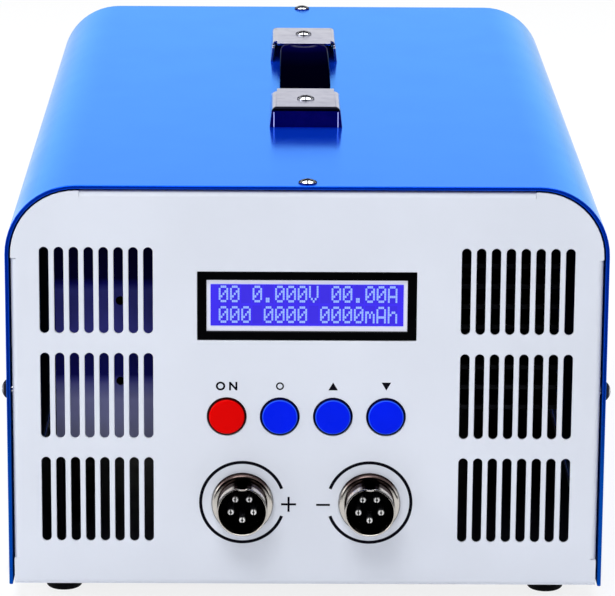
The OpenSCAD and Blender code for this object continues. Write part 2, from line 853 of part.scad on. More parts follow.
// The pins have a chamfered, bored and slit tip in front and a solder cup behind
module socket_pins(side) for (pin = [0 : 4]) difference() {
    union() {
        socket_pin(side, pin, pin_r, pin_tip + pin_recess - socket_reach, insert_rear + cup_wall);
        socket_pin(side, pin, pin_r + cup_wall, insert_rear, insert_rear + cup_l);
        translate(pin_tip_place(side, pin)) rotate([-90, 0, 0])
            cylinder(r1 = pin_r - 0.6 * pin_tip, r2 = pin_r, h = pin_tip);
    }
    translate(pin_tip_place(side, pin)) translate([-pin_slit_w / 2, -1, -pin_r - 1])
        cube([pin_slit_w, 1 + pin_slit_l, 2 * pin_r + 2]);
    socket_pin(side, pin, pin_bore_r, pin_recess - socket_reach - 1, 1 + pin_slit_l);
    socket_pin(side, pin, pin_r, insert_rear + cup_wall + 1, insert_rear + cup_l + 1);
}

module socket_nut(side) translate([side * socket_pitch / 2, panel_t, socket_z]) rotate([-90, 0, 0])
    difference() {
        cylinder(r = nut_across / 2 / cos(30), h = nut_t, $fn = 6);
        translate([0, 0, -1]) cylinder(r = barrel_r + slip, h = nut_t + 2);
    }

module positive_shell() color("#c4bfb6") in_case() socket_shell(-1);
module positive_insert() color("#0a0a0c") in_case() socket_insert(-1);
module positive_pins() color("#d9d9dc") in_case() socket_pins(-1);
module positive_nut() color("#c4bfb6") in_case() socket_nut(-1);
module negative_shell() color("#c4bfb6") in_case() socket_shell(1);
module negative_insert() color("#0a0a0c") in_case() socket_insert(1);
module negative_pins() color("#d9d9dc") in_case() socket_pins(1);
module negative_nut() color("#c4bfb6") in_case() socket_nut(1);

// A lead that runs back from a socket and turns down onto the main board
module lead(x, y0, z) {
    rod(x, y0, z, lead_r, lead_y - lead_bend - y0);
    translate([x, lead_y - lead_bend, z - lead_bend]) rotate([90, 0, 90])
        rotate_extrude(angle = 90) translate([lead_bend, 0]) circle(lead_r);
    translate([x, lead_y, board_top]) cylinder(r = lead_r, h = z - lead_bend - board_top);
}

module socket_leads(side) for (step = [-1, 1])
    lead(side * socket_pitch / 2 + step * lead_side, insert_rear + cup_l, socket_z);

module positive_leads() color("#b01818") in_case() socket_leads(-1);
module negative_leads() color("#101114") in_case() socket_leads(1);

// The ribbon and its two plugs, from the control board down to the main board
module ribbon_cable() color("#8a8d96") in_case() {
    y0 = control_y + board_t;
    plug_w = ribbon_w + 2 * plug_side;
    block(0, y0, ribbon_z, [plug_w, plug_h, plug_t]);
    block(0, y0 + plug_h, ribbon_z, [ribbon_w, ribbon_y - ribbon_bend - y0 - plug_h, ribbon_t]);
    translate([-ribbon_w / 2, ribbon_y - ribbon_bend, ribbon_z - ribbon_bend]) rotate([90, 0, 90])
        rotate_extrude(angle = 90)
            translate([ribbon_bend - ribbon_t / 2, 0]) square([ribbon_t, ribbon_w]);
    translate([-ribbon_w / 2, ribbon_y - ribbon_t / 2, board_top + plug_h])
        cube([ribbon_w, ribbon_t, ribbon_z - ribbon_bend - board_top - plug_h]);
    translate([-plug_w / 2, ribbon_y - plug_t / 2, board_top]) cube([plug_w, plug_t, plug_h]);
}

// Centres of the main board's standoffs
function standoff_places() = [for (x = [board_x0 + standoff_in, board_x1 - standoff_in],
    y = [board_y0 + standoff_in, board_y0 + board_l - standoff_in]) [x, y]];

module main_board() color("#1d5c35") in_case() translate([0, 0, board_z]) linear_extrude(board_t)
    difference() {
        translate([board_x0, board_y0]) square([board_w, board_l]);
        for (place = standoff_places()) translate(place) circle(m3_r + slip);
    }

module main_standoffs() color("#c8a85a") in_case() for (place = standoff_places())
    translate([place[0], place[1], panel_t]) {
        cylinder(r = standoff_r, h = standoff_h, $fn = 6);
        cylinder(r = m3_r, h = standoff_h + board_t + stud_over);
    }

module capacitors() color("#20232b") in_case() for (can = [0 : 2])
    translate([board_x0 + can_in, board_y0 + can_y + can * can_pitch, board_top]) {
        cylinder(r = can_r, h = can_h - 1);
        translate([0, 0, can_h - 1]) cylinder(r1 = can_r, r2 = can_r - 1, h = 1);
    }

// Four power transistors clamped to the heat sink's base, with their legs in the main board
module transistors() color("#17181c") in_case() for (chip = [0 : 3]) {
    y = board_y0 + chip_y + chip * chip_pitch;
    translate([sink_base_x - chip_t, y, board_top + chip_lift]) cube([chip_t, chip_w, chip_h]);
    for (leg = [-1, 0, 1])
        translate([sink_base_x - chip_t - leg_reach, y + (chip_w - leg_w) / 2 + leg * leg_pitch, board_top])
            cube([leg_reach + leg_w, leg_w, chip_lift + leg_w]);
}

module heat_sink() color("#121318") in_case() {
    translate([sink_base_x, sink_y, panel_t]) cube([sink_base_t, sink_l, sink_fin_z1 - panel_t]);
    step = (sink_fin_z1 - sink_fin_z0 - fin_t) / (fin_count - 1);
    for (fin = [0 : fin_count - 1])
        translate([sink_base_x + sink_base_t - eps, sink_y, sink_fin_z0 + fin * step])
            cube([sink_fin_reach - sink_base_x - sink_base_t, sink_l, fin_t]);
}

// A folded sheet case with two screw holes in front, open behind where the terminal block stands
module supply_case() color("#aeb4c4") in_case() translate([supply_x, supply_y, supply_z]) difference() {
    cube([supply_w, supply_l, supply_h]);
    translate([supply_t, supply_t, supply_t])
        cube([supply_w - 2 * supply_t, supply_l - 2 * supply_t, supply_h - 2 * supply_t]);
    translate([terminal_edge, supply_l - supply_t - 1, terminal_rise])
        cube([supply_w - 2 * terminal_edge, supply_t + 2, terminal_h]);
    for (z = [supply_hole_z, supply_hole_z + supply_hole_pitch])
        rod(supply_w / 2 - supply_hole_off, -1, z, supply_hole_r, supply_t + 2);
}

module supply_terminals() color("#101114") in_case() difference() {
    edge = terminal_edge + clear;
    l = supply_w - 2 * edge;
    rear = supply_y + supply_l + terminal_proud;
    translate([supply_x + edge, rear - terminal_l, supply_z + terminal_rise + clear])
        cube([l, terminal_l, terminal_h - 2 * clear]);
    for (way = [0 : terminal_ways - 1])
        translate([supply_x + edge + (way + 0.5) * l / terminal_ways - terminal_slot / 2,
            rear - terminal_proud + 1, supply_z + terminal_rise + terminal_floor])
                cube([terminal_slot, terminal_proud, terminal_h]);
}

// Two walls, a tray for the supply and two feet on the floor
module supply_bracket() color("#2a2d36") in_case() translate([supply_x, supply_y + bracket_in, 0]) {
    l = supply_l - 2 * bracket_in;
    translate([0, 0, supply_z - bracket_t]) cube([supply_w, l, bracket_t]);
    for (x = [0, supply_w - bracket_t]) translate([x, 0, panel_t])
        cube([bracket_t, l, supply_z - panel_t]);
    for (x = [0, supply_w - bracket_foot]) translate([x, 0, panel_t]) cube([bracket_foot, l, bracket_t]);
}

// Corner holes of a fan, about its own axis
module fan_corners() for (sx = [-1, 1], sz = [-1, 1])
    translate([sx * fan_hole_pitch / 2, sz * fan_hole_pitch / 2]) children();

// One square flange of a fan frame, about the fan's axis
module fan_flange(y) slab(y, fan_flange_t) difference() {
    round_rect(fan_flange_w, fan_flange_w, fan_corner_r);
    circle(fan_throat_r);
    fan_corners() circle(fan_hole_r);
}

// A fan frame: two flanges, the round duct between them, and the motor plate on its four struts
module fan_frame(side) translate([side * fan_x, 0, fan_z]) {
    fan_flange(fan_y);
    fan_flange(rear_in - fan_flange_t);
    slab(fan_y + fan_flange_t - eps, fan_d - 2 * fan_flange_t + 2 * eps) difference() {
        circle(fan_body_r);
        circle(fan_throat_r);
    }
    slab(rear_in - strut_d, strut_d) difference() {
        intersection() {
            circle((fan_body_r + fan_throat_r) / 2);
            union() {
                circle(motor_r);
                for (turn = [45, 135]) rotate(turn) square([fan_size * 1.2, strut_w], center = true);
            }
        }
        circle(shaft_r + slip);
    }
}

// A rotor about its own axis: the hub, its shaft and a ring of curved blades
module fan_rotor(side) translate([side * fan_x, 0, fan_z]) {
    hub_y = rear_in - strut_d - rotor_gap - hub_l;
    rod(0, hub_y, 0, hub_r, hub_l);
    rod(0, hub_y + hub_l - 1, 0, shaft_r, strut_d + rotor_gap + 1 - clear);
    for (blade = [0 : blade_count - 1]) rotate([0, blade * 360 / blade_count, 0])
        intersection() {
            rotate([-90, 0, 0]) translate([0, 0, fan_y + blade_inset]) difference() {
                cylinder(r = fan_throat_r - blade_gap, h = blade_l);
                translate([0, 0, -1]) cylinder(r = hub_r - blade_t / 2, h = blade_l + 2);
            }
            translate([hub_r - blade_t, fan_y + blade_inset, 0]) rotate([90, 0, 90])
                linear_extrude(fan_size / 2) blade_section();
        }
}

// A blade's arched section in the plane of depth and travel, with the front edge at the origin
module blade_section() translate([-blade_arc_r / 4, -blade_arc_r * 0.8]) difference() {
    circle(blade_arc_r);
    circle(blade_arc_r - blade_t);
}

// A wire finger guard about its own axis, held by the four corner screws
module fan_guard(side) {
    ring_y = case_l + guard_reach - guard_wire_r;
    rail_y = ring_y - 1.5 * guard_wire_r;
    eye_y = case_l + guard_wire_r;
    reach = fan_hole_pitch / sqrt(2);
    leg = reach - fan_head_r - guard_wire_r - clear / 2;
    translate([side * fan_x, 0, fan_z]) {
        for (ring = [1 : guard_rings]) translate([0, ring_y, 0]) rotate([90, 0, 0])
            rotate_extrude() translate([ring * guard_pitch, 0]) circle(guard_wire_r, $fn = 24);
        for (turn = [45 : 90 : 315]) rotate([0, turn, 0]) {
            translate([guard_pitch, rail_y, 0]) rotate([0, 90, 0])
                cylinder(r = guard_wire_r, h = leg - guard_pitch, $fn = 24);
            translate([leg, eye_y, 0]) rotate([-90, 0, 0])
                cylinder(r = guard_wire_r, h = rail_y - eye_y, $fn = 24);
            for (y = [eye_y, rail_y]) translate([leg, y, 0]) sphere(guard_wire_r, $fn = 24);
            translate([leg, eye_y, 0]) rotate([0, 90, 0])
                cylinder(r = guard_wire_r, h = reach - guard_eye_r - leg, $fn = 24);
            translate([reach, eye_y, 0]) rotate([90, 0, 0]) rotate_extrude()
                translate([guard_eye_r, 0]) circle(guard_wire_r, $fn = 24);
        }
    }
}

module left_fan_frame() color("#16171b") in_case() fan_frame(-1);
module left_fan_rotor() color("#1c1d22") in_case() fan_rotor(-1);
module left_fan_guard() color("#c7c9ce") in_case() fan_guard(-1);
module right_fan_frame() color("#16171b") in_case() fan_frame(1);
module right_fan_rotor() color("#1c1d22") in_case() fan_rotor(1);
module right_fan_guard() color("#c7c9ce") in_case() fan_guard(1);

module fan_screws() color("#33353b") in_case() for (side = [-1, 1])
    translate([side * fan_x, case_l + 2 * guard_wire_r, fan_z]) rotate([-90, 0, 0])
        fan_corners() pan_screw(m4_r, fan_head_r, m4_head_h, fan_screw_l);

// The outline of an appliance inlet: a rectangle with its two upper corners cut off
module inlet_outline(w, h) polygon([[-w / 2, -h / 2], [w / 2, -h / 2], [w / 2, h / 2 - inlet_cut],
    [w / 2 - inlet_cut, h / 2], [-w / 2 + inlet_cut, h / 2], [-w / 2, h / 2 - inlet_cut]]);

module inlet_body() color("#121317") in_case() translate([-inlet_x, 0, inlet_z]) difference() {
    union() {
        slab(case_l, inlet_flange_t) round_rect(inlet_flange_w, inlet_flange_h, 4);
        slab(case_l - inlet_body_l, inlet_body_l)
            square([inlet_body_w, inlet_body_h - 2], center = true);
    }
    slab(case_l + inlet_flange_t - inlet_mouth_d, inlet_mouth_d + 1)
        translate([0, -inlet_mouth_drop]) inlet_outline(inlet_mouth_w, inlet_mouth_h);
    slab(case_l + inlet_flange_t - drawer_l, drawer_l + 1)
        translate([0, drawer_rise]) square([drawer_w + 2 * clear, drawer_h + 2 * clear], center = true);
    for (side = [-1, 1]) rod(side * inlet_ear_pitch / 2, case_l - 1, 0, m3_r + slip, inlet_flange_t + 2);
    for (pin = [-1, 0, 1]) inlet_pin(pin, 2 * slip, 1);
}

// One flat contact of the inlet; the middle one is the earth contact
module inlet_pin(pin, grow, extra) {
    block(pin * contact_pitch, case_l - inlet_body_l - extra,
        -inlet_mouth_drop + (pin == 0 ? contact_step : -contact_step),
        [contact_t + grow, inlet_body_l + inlet_flange_t - contact_back + extra, contact_w + grow]);
}

module inlet_pins() color("#d8d8dc") in_case() translate([-inlet_x, 0, inlet_z])
    for (pin = [-1, 0, 1]) inlet_pin(pin, 0, contact_tab);

// The drawer, open underneath to take the fuse, with a finger lip on its face
module fuse_drawer() color("#1a1b20") in_case() translate([-inlet_x, 0, inlet_z + drawer_rise]) {
    back = case_l + inlet_flange_t + 2 * clear;
    difference() {
        block(0, back - drawer_l, 0, [drawer_w, drawer_l + 2 * clear, drawer_h]);
        block(0, back - drawer_l + drawer_wall, -drawer_wall,
            [drawer_w - 2 * drawer_wall, drawer_l - 2 * drawer_wall, drawer_h]);
    }
    block(0, back, (drawer_lip - drawer_h) / 2 + clear, [drawer_lip_w, 2 * drawer_lip, drawer_lip]);
}

module switch_frame() color("#121317") in_case() translate([rocker_x, case_l, switch_z]) difference() {
    union() {
        slab(0, 1.6) round_rect(switch_w, switch_tall, 1);
        slab(-switch_body_l, switch_body_l)
            square([switch_w - 2, switch_tall - 2], center = true);
    }
    slab(-10, 13) square([rocker_w + 2 * clear, rocker_tall + 2 * clear + 0.4], center = true);
    translate([-switch_w, rocker_pin_y, 0]) rotate([0, 90, 0])
        cylinder(r = rocker_pin_r + slip, h = 2 * switch_w);
}

// The rocker stands in its ON position: its upper half is pressed in
module rocker() color("#17181d") in_case() translate([rocker_x, case_l + rocker_pin_y, switch_z])
    rotate([rocker_tilt, 0, 0]) {
        intersection() {
            translate([-rocker_w / 2, 0, 0]) rotate([90, 0, 90]) linear_extrude(rocker_w) difference() {
                union() {
                    polygon([[0, -rocker_tall / 2 + 0.4], [5.6, -rocker_tall / 2 + 0.4], [3.9, 0],
                        [5.6, rocker_tall / 2 - 0.4], [0, rocker_tall / 2 - 0.4]]);
                    circle(4);
                }
            }
            rotate([0, 90, 0]) cylinder(r = rocker_tall / 2 + 1.4, h = switch_w, center = true);
        }
        translate([-switch_w / 2 + 1.3, 0, 0]) rotate([0, 90, 0])
            cylinder(r = rocker_pin_r, h = switch_w - 2.6);
    }

module data_socket() color("#b7bac1") in_case() translate([data_x, 0, data_z]) {
    front = case_l + data_proud - data_l;
    slab(front, data_l) difference() {
        square([data_w, data_h], center = true);
        square([data_w - 2 * data_wall, data_h - 2 * data_wall], center = true);
    }
    block(0, front, 0, [data_w - 2 * data_wall + 2 * eps, 4, data_h - 2 * data_wall + 2 * eps]);
    block(0, front + 3, 0, [data_tongue_w, data_l - 5, data_tongue_t]);
}

chassis();
cover();
cover_screws();
feet();
foot_screws();
handle_front_cap();
handle_rear_cap();
handle_screws();
handle_nuts();
strap_grip();
strap_front_flex();
strap_rear_flex();
display_bezel();
display_screen();
display_backlight();
display_board();
display_spacers();
control_board();
board_studs();
key_switches();
on_key();
set_key();
up_key();
down_key();
on_plunger();
set_plunger();
up_plunger();
down_plunger();
positive_shell();
positive_insert();
positive_pins();
positive_nut();
negative_shell();
negative_insert();
negative_pins();
negative_nut();
positive_leads();
negative_leads();
ribbon_cable();
main_board();
main_standoffs();
capacitors();
transistors();
heat_sink();
supply_case();
supply_terminals();
supply_bracket();
left_fan_frame();
left_fan_rotor();
left_fan_guard();
right_fan_frame();
right_fan_rotor();
right_fan_guard();
fan_screws();
inlet_body();
inlet_pins();
fuse_drawer();
switch_frame();
rocker();
data_socket();
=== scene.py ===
"""Dresses the battery capacity tester: paint, print, screws, handle, display, keys, sockets and fans.

The file is laid out as an add-on. Each group of like pieces has its own operator, the sizes and
colours that a user would change are in the property groups, and main() calls everything in order.
"""
import json
import math

import bmesh
import bpy
from bpy.props import FloatProperty, FloatVectorProperty, IntProperty, PointerProperty, StringProperty
from bpy.types import Operator, Panel, PropertyGroup
from mathutils import Matrix, Vector
from mathutils.bvhtree import BVHTree
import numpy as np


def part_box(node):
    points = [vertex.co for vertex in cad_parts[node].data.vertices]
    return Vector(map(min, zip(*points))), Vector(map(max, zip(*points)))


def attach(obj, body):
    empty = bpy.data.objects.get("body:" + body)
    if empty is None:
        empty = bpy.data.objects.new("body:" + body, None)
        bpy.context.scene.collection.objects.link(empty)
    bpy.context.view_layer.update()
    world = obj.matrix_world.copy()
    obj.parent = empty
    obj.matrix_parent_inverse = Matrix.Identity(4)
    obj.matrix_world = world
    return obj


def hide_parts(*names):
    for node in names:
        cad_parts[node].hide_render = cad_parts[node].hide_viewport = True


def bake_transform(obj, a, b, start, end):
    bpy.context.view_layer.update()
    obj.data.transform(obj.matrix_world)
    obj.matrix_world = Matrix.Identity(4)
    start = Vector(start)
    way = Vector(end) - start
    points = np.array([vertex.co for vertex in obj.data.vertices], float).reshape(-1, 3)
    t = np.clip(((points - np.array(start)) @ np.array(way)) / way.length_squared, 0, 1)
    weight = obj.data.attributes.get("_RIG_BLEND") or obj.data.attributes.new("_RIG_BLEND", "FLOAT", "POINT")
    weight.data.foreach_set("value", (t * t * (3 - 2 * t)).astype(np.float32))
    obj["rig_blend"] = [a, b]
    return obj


bl_info = {
    "name": "Battery capacity tester",
    "version": (1, 0, 0),
    "blender": (4, 5, 0),
    "location": "3D Viewport > Sidebar > Tester",
    "description": "Dresses the packed model of a bench battery capacity tester",
    "category": "Object",
}

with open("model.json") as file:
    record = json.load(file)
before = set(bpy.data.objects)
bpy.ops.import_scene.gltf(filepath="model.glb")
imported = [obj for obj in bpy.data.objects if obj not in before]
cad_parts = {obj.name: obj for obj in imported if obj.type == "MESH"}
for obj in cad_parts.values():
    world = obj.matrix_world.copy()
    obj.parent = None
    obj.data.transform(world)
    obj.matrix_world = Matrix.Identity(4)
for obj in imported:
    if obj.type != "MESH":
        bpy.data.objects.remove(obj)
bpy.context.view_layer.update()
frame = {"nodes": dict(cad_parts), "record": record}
NODES = frame["nodes"]
SLOT_OF = {part["node"]: part["material_slot"] for part in frame["record"]["subparts"]}
BODY_OF = {name: body for body, names in frame["record"]["behaviour"]["bodies"].items() for name in names}

MM = 0.001
FACE_Y, BACK_Y = [corner.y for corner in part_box("chassis")]
FOOT_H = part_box("chassis")[0].z
COVER_R = 22.5 * MM                            # upper corners of the cover, and of the panel inside it
PANEL_R = COVER_R - 1.8 * MM
HEAD_R = 2.9 * MM                              # heads of the screws in the case
SCREW_YS = (FACE_Y + 5 * MM, BACK_Y - 5 * MM)  # the cover's screws
SIDE_SCREW_Z = FOOT_H + 64 * MM
FAN_HOLE = 35.75 * MM                          # from a fan's middle to its holes, each way
BARREL_R = 8.0 * MM                            # the sockets' barrels
DARK = (0.010, 0.011, 0.016)


def centre(node_name):
    """Middle of a CAD node's box."""
    low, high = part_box(node_name)
    return (low + high) / 2


# ---------------- nodes

def node(owner, kind, inputs={}, take=0, **settings):
    """Adds a node to a tree, or to a material's or world's tree, and returns one of its outputs.

    Each input gets a plain value or a link from another node's output. take=None returns the node.
    """
    tree = getattr(owner, "node_tree", owner)
    made = tree.nodes.new(kind)
    for setting, value in settings.items():
        setattr(made, setting, value)
    for socket, value in inputs.items():
        if isinstance(value, bpy.types.NodeSocket):
            tree.links.new(value, made.inputs[socket])
        else:
            made.inputs[socket].default_value = value
    return made if take is None else made.outputs[take]


def shader_input(material, name):
    """One input of a material's Principled shader."""
    return material.node_tree.nodes["Principled BSDF"].inputs[name]


def connect(material, value, name):
    """Links a value to an input of the Principled shader."""
    material.node_tree.links.new(value, shader_input(material, name))


def object_place(material):
    """Object coordinates."""
    return node(material, "ShaderNodeTexCoord", take="Object")


def object_noise(material, per_metre, detail, stretch=(1, 1, 1)):
    """Noise on object coordinates. stretch scales it along the axes, for brushed and drawn metal."""
    place = node(material, "ShaderNodeMapping", {"Vector": object_place(material), "Scale": stretch})
    return node(material, "ShaderNodeTexNoise", {"Vector": place, "Scale": per_metre, "Detail": detail})


def ranged(material, value, start, end, low=0.0, high=1.0):
    """Carries a value from one range to another, and keeps it inside."""
    return node(material, "ShaderNodeMapRange", {"Value": value, "From Min": start, "From Max": end,
                                                 "To Min": low, "To Max": high})


def ramp(material, value, stops):
    """Colours that blend into each other along a value, as (place, colour) pairs."""
    made = node(material, "ShaderNodeValToRGB", {"Fac": value}, take=None)
    elements = made.color_ramp.elements
    for index in (0, -1):
        elements[index].position = stops[index][0]
        elements[index].color = (*stops[index][1], 1)
    for place, colour in stops[1:-1]:
        elements.new(place).color = (*colour, 1)
    return made.outputs["Color"]


# ---------------- masks and shades

def vector_steps(material, *steps):
    """Object coordinates taken through vector operations; LENGTH gives a plain number."""
    value = object_place(material)
    for operation, *operand in steps:
        value = node(material, "ShaderNodeVectorMath", dict(enumerate([value, *operand])),
                     take="Value" if operation == "LENGTH" else "Vector", operation=operation)
    return value


def joined(material, operation, masks):
    """One mask made of several, two by two."""
    result = masks[0]
    for mask in masks[1:]:
        result = node(material, "ShaderNodeMath", {0: result, 1: mask}, operation=operation)
    return result


def all_of(material, *masks):
    """1 where every mask is 1."""
    return joined(material, "MULTIPLY", masks)


def any_of(material, *masks):
    """1 where one of the masks is 1."""
    return joined(material, "MAXIMUM", masks)


def along(material, axis, start, end):
    """0 before the start and 1 past the end of a stretch of one object axis, which may run either way."""
    place = node(material, "ShaderNodeSeparateXYZ", {"Vector": object_place(material)}, take=axis)
    return ranged(material, place, start, end)


def between(material, axis, low, high, soft=0.02 * MM):
    """1 between two places along an object axis, with soft ends."""
    return all_of(material, along(material, axis, low - soft, low + soft),
                  along(material, axis, high + soft, high - soft))


def from_axis(material, at, across, start, end):
    """0 before the start and 1 past the end of a stretch away from a point, measured along the axes kept."""
    away = vector_steps(material, ("SUBTRACT", at), ("MULTIPLY", across), ("LENGTH",))
    return ranged(material, away, start, end)


def under_arch(material, node_name, radius):
    """1 inside the arch that lies a little inside a CAD node's box, with round upper corners."""
    high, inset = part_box(node_name)[1], 0.6 * MM
    middle = (high.x - radius, 0, high.z - radius)
    away = vector_steps(material, ("ABSOLUTE",), ("SUBTRACT", middle), ("MAXIMUM", (0, 0, 0)),
                        ("MULTIPLY", (1, 0, 1)), ("LENGTH",))
    return node(material, "ShaderNodeMath", {0: away, 1: radius - inset}, operation="LESS_THAN")


def shaded(material, mask, shade):
    """Multiplies the base colour by a shade, plain or from another node, where the mask is 1."""
    before = shader_input(material, "Base Color").links[0].from_socket
    shade = (*shade, 1) if isinstance(shade, tuple) else shade
    mix = node(material, "ShaderNodeMix", {0: mask, 6: before, 7: shade}, take=2,
               data_type="RGBA", blend_type="MULTIPLY")
    connect(material, mix, "Base Color")
    return material


def banded(material, axis, stops):
    """Multiplies the base colour by shades along an object axis, as (place, shade) pairs."""
    first, last = stops[0][0], stops[-1][0]
    shares = [((place - first) / (last - first), shade) for place, shade in stops]
    return shaded(material, 1.0, ramp(material, along(material, axis, first, last), shares))


def matt_where(material, mask):
    """Takes the metal and the gloss away where the mask is 1."""
    gloss = shader_input(material, "Roughness").links[0].from_socket
    connect(material, any_of(material, gloss, mask), "Roughness")
    metallic = shader_input(material, "Metallic").default_value
    connect(material, ranged(material, mask, 0, 1, metallic, 0), "Metallic")
    return material


# ---------------- kinds of finish

SHADER_INPUTS = {"metallic": "Metallic", "specular": "Specular IOR Level", "coat": "Coat Weight",
                 "tint": "Specular Tint", "strength": "Emission Strength"}
NOISE_MIDDLE = (0.3, 0.7)


def node_material(name, colour, roughness, **constants):
    """A Principled material with its constants on the shader's own sockets."""
    material = bpy.data.materials.new(name)
    material.use_nodes = True
    values = {"Base Color": (*colour, 1), "Roughness": roughness, "Coat Roughness": 0.08}
    values.update((SHADER_INPUTS[key], value) for key, value in constants.items())
    for socket, value in values.items():
        shader_input(material, socket).default_value = value
    material.diffuse_color = (*colour, 1)
    return material


def scaled(colour, factor):
    return tuple(min(1.0, channel * factor) for channel in colour)


def cloudy(material, colour, per_metre, detail, *tones):
    """A colour that drifts between two tones of itself."""
    stops = [(place, scaled(colour, tone)) for place, tone in zip(NOISE_MIDDLE, tones)]
    return ramp(material, object_noise(material, per_metre, detail), stops)


def worked(material, grain, depth_mm, stretch=(1, 1, 1)):
    """A fine relief of a given depth. grain is the noise's number per metre and its detail."""
    relief = object_noise(material, *grain, stretch)
    bump = node(material, "ShaderNodeBump", {"Distance": depth_mm * MM, "Height": relief})
    connect(material, bump, "Normal")


def uneven_gloss(material, per_metre, low, high):
    """Roughness that wanders between two values."""
    gloss = ranged(material, object_noise(material, per_metre, 4.0), *NOISE_MIDDLE, low, high)
    connect(material, gloss, "Roughness")


def powder_coat(name, colour, roughness, peel_mm, grain_per_metre, uneven, **constants):
    """Sprayed and baked paint: a fine orange peel and a little dust in the gloss."""
    material = node_material(name, colour, roughness, **constants)
    worked(material, (grain_per_metre, 2.0), peel_mm)
    uneven_gloss(material, 60, roughness - uneven, roughness + uneven)
    connect(material, cloudy(material, colour, 18, 3.0, 0.965, 1.03), "Base Color")
    return material


def plated(name, colour, roughness, lines_per_metre=0, stretch=(1, 1, 1), depth_mm=0.004, metallic=1.0,
           **constants):
    """Bright plated metal with fine polishing lines and cloudier patches."""
    material = node_material(name, colour, roughness, metallic=metallic, **constants)
    uneven_gloss(material, 220, roughness * 0.7, roughness * 1.5)
    connect(material, cloudy(material, colour, 90, 2.0, 0.93, 1.03), "Base Color")
    if lines_per_metre:
        worked(material, (lines_per_metre, 2.0), depth_mm, stretch)
    return material


def moulded(name, colour, roughness, grain_mm=0.006, **constants):
    """Moulded plastic or rubber: a fine eroded grain and uneven gloss."""
    material = node_material(name, colour, roughness, **constants)
    worked(material, (1900, 3.0), grain_mm)
    uneven_gloss(material, 150, roughness - 0.05, roughness + 0.08)
    connect(material, cloudy(material, colour, 40, 3.0, 0.9, 1.1), "Base Color")
    return material


def glowing(name, colour, glow, roughness=0.25, cloud=0.06):
    """A backlit plastic face whose light varies slightly across it."""
    material = node_material(name, colour, roughness, strength=1.0)
    connect(material, cloudy(material, glow, 45, 2.0, 1 - cloud, 1 + cloud), "Emission Color")
    return material


# ---------------- finishes of this object

def chassis_paint(colour):
    """White paint, with painted shade inside the folded sheet and on a strip of its floor."""
    material = powder_coat("white powder coat", colour, 0.42, 0.010, 1300, 0.045, specular=0.3)
    # painted shade: the paint goes dark inside the folded sheet
    inside = all_of(material, under_arch(material, "chassis", PANEL_R),
                    along(material, "Y", FACE_Y + 0.88 * MM, FACE_Y + 0.92 * MM),
                    along(material, "Y", BACK_Y - 0.68 * MM, BACK_Y - 0.72 * MM),
                    along(material, "Z", FOOT_H + 0.68 * MM, FOOT_H + 0.72 * MM))
    shaded(material, inside, (0.045, 0.045, 0.06))
    # painted shade: a darker strip along the floor inside the chassis
    floor_strip = all_of(material, between(material, "Z", FOOT_H + 0.7 * MM, FOOT_H + 4 * MM),
                         between(material, "Y", FACE_Y + 3 * MM, BACK_Y - 3 * MM))
    return shaded(material, floor_strip, (0.3, 0.3, 0.35))


def cover_paint(colour):
    """Deep blue lacquer over bright metal, with painted shade on the cut edges, deeper towards the bottom, and
    painted dark navy shade, without gloss, inside the arch.
    """
    material = powder_coat("blue lacquer", colour, 0.17, 0.006, 900, 0.015, metallic=0.64, tint=(0.05, 1, 1, 1))
    low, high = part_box("cover")
    # painted shade on the front and back cut edges
    edge, plain = (1.0, 0.75, 0.72), (1, 1, 1)
    dark_to, fade_to = 0.20 * MM, 0.42 * MM
    banded(material, "Y", [(low.y, edge), (low.y + dark_to, edge), (low.y + fade_to, plain),
                           (high.y - fade_to, plain), (high.y - dark_to, edge), (high.y, edge)])
    # painted shade: the cut edges darker towards the bottom
    ends = all_of(material, along(material, "Y", low.y + fade_to, low.y + dark_to),
                  along(material, "Z", FOOT_H + 95 * MM, FOOT_H + 40 * MM))
    shaded(material, ends, (1.0, 0.9, 0.5))
    # painted shade, dark navy and matt, inside the arch and in the gap along the panel
    inside = all_of(material, under_arch(material, "cover", COVER_R),
                    along(material, "Y", low.y + 0.15 * MM, low.y + 0.25 * MM))
    return matt_where(shaded(material, inside, (0.02, 0.06, 0.30)), inside)


def supply_paint():
    """Lilac sheet with painted light and shade in bands up its height, where the light through the vents reaches
    it only in places.
    """
    material = moulded("lilac supply sheet", (0.41, 0.42, 0.80), 0.5, 0.006, specular=0.05)
    # painted light and shade at each height in millimetres
    shades = (
        (40, (0.60, 0.62, 0.54)), (43, (0.65, 0.66, 0.60)), (47, (0.76, 0.77, 0.75)),
        (49, (0.82, 0.82, 0.82)), (53.8, (0.80, 0.80, 0.82)), (55.5, (0.62, 0.63, 0.72)),
        (57.2, (0.48, 0.49, 0.66)), (58.9, (0.36, 0.36, 0.58)), (60.5, (0.16, 0.16, 0.44)),
        (62.2, (0.02, 0.02, 0.22)), (69, (0.02, 0.02, 0.19)), (76, (0.21, 0.21, 0.66)),
        (90.5, (0.20, 0.21, 0.68)), (92.7, (0.03, 0.03, 0.36)), (94.5, (0.0, 0.0, 0.10)),
        (110, (0.0, 0.0, 0.04)))
    return banded(material, "Z", [(FOOT_H + height * MM, shade) for height, shade in shades])


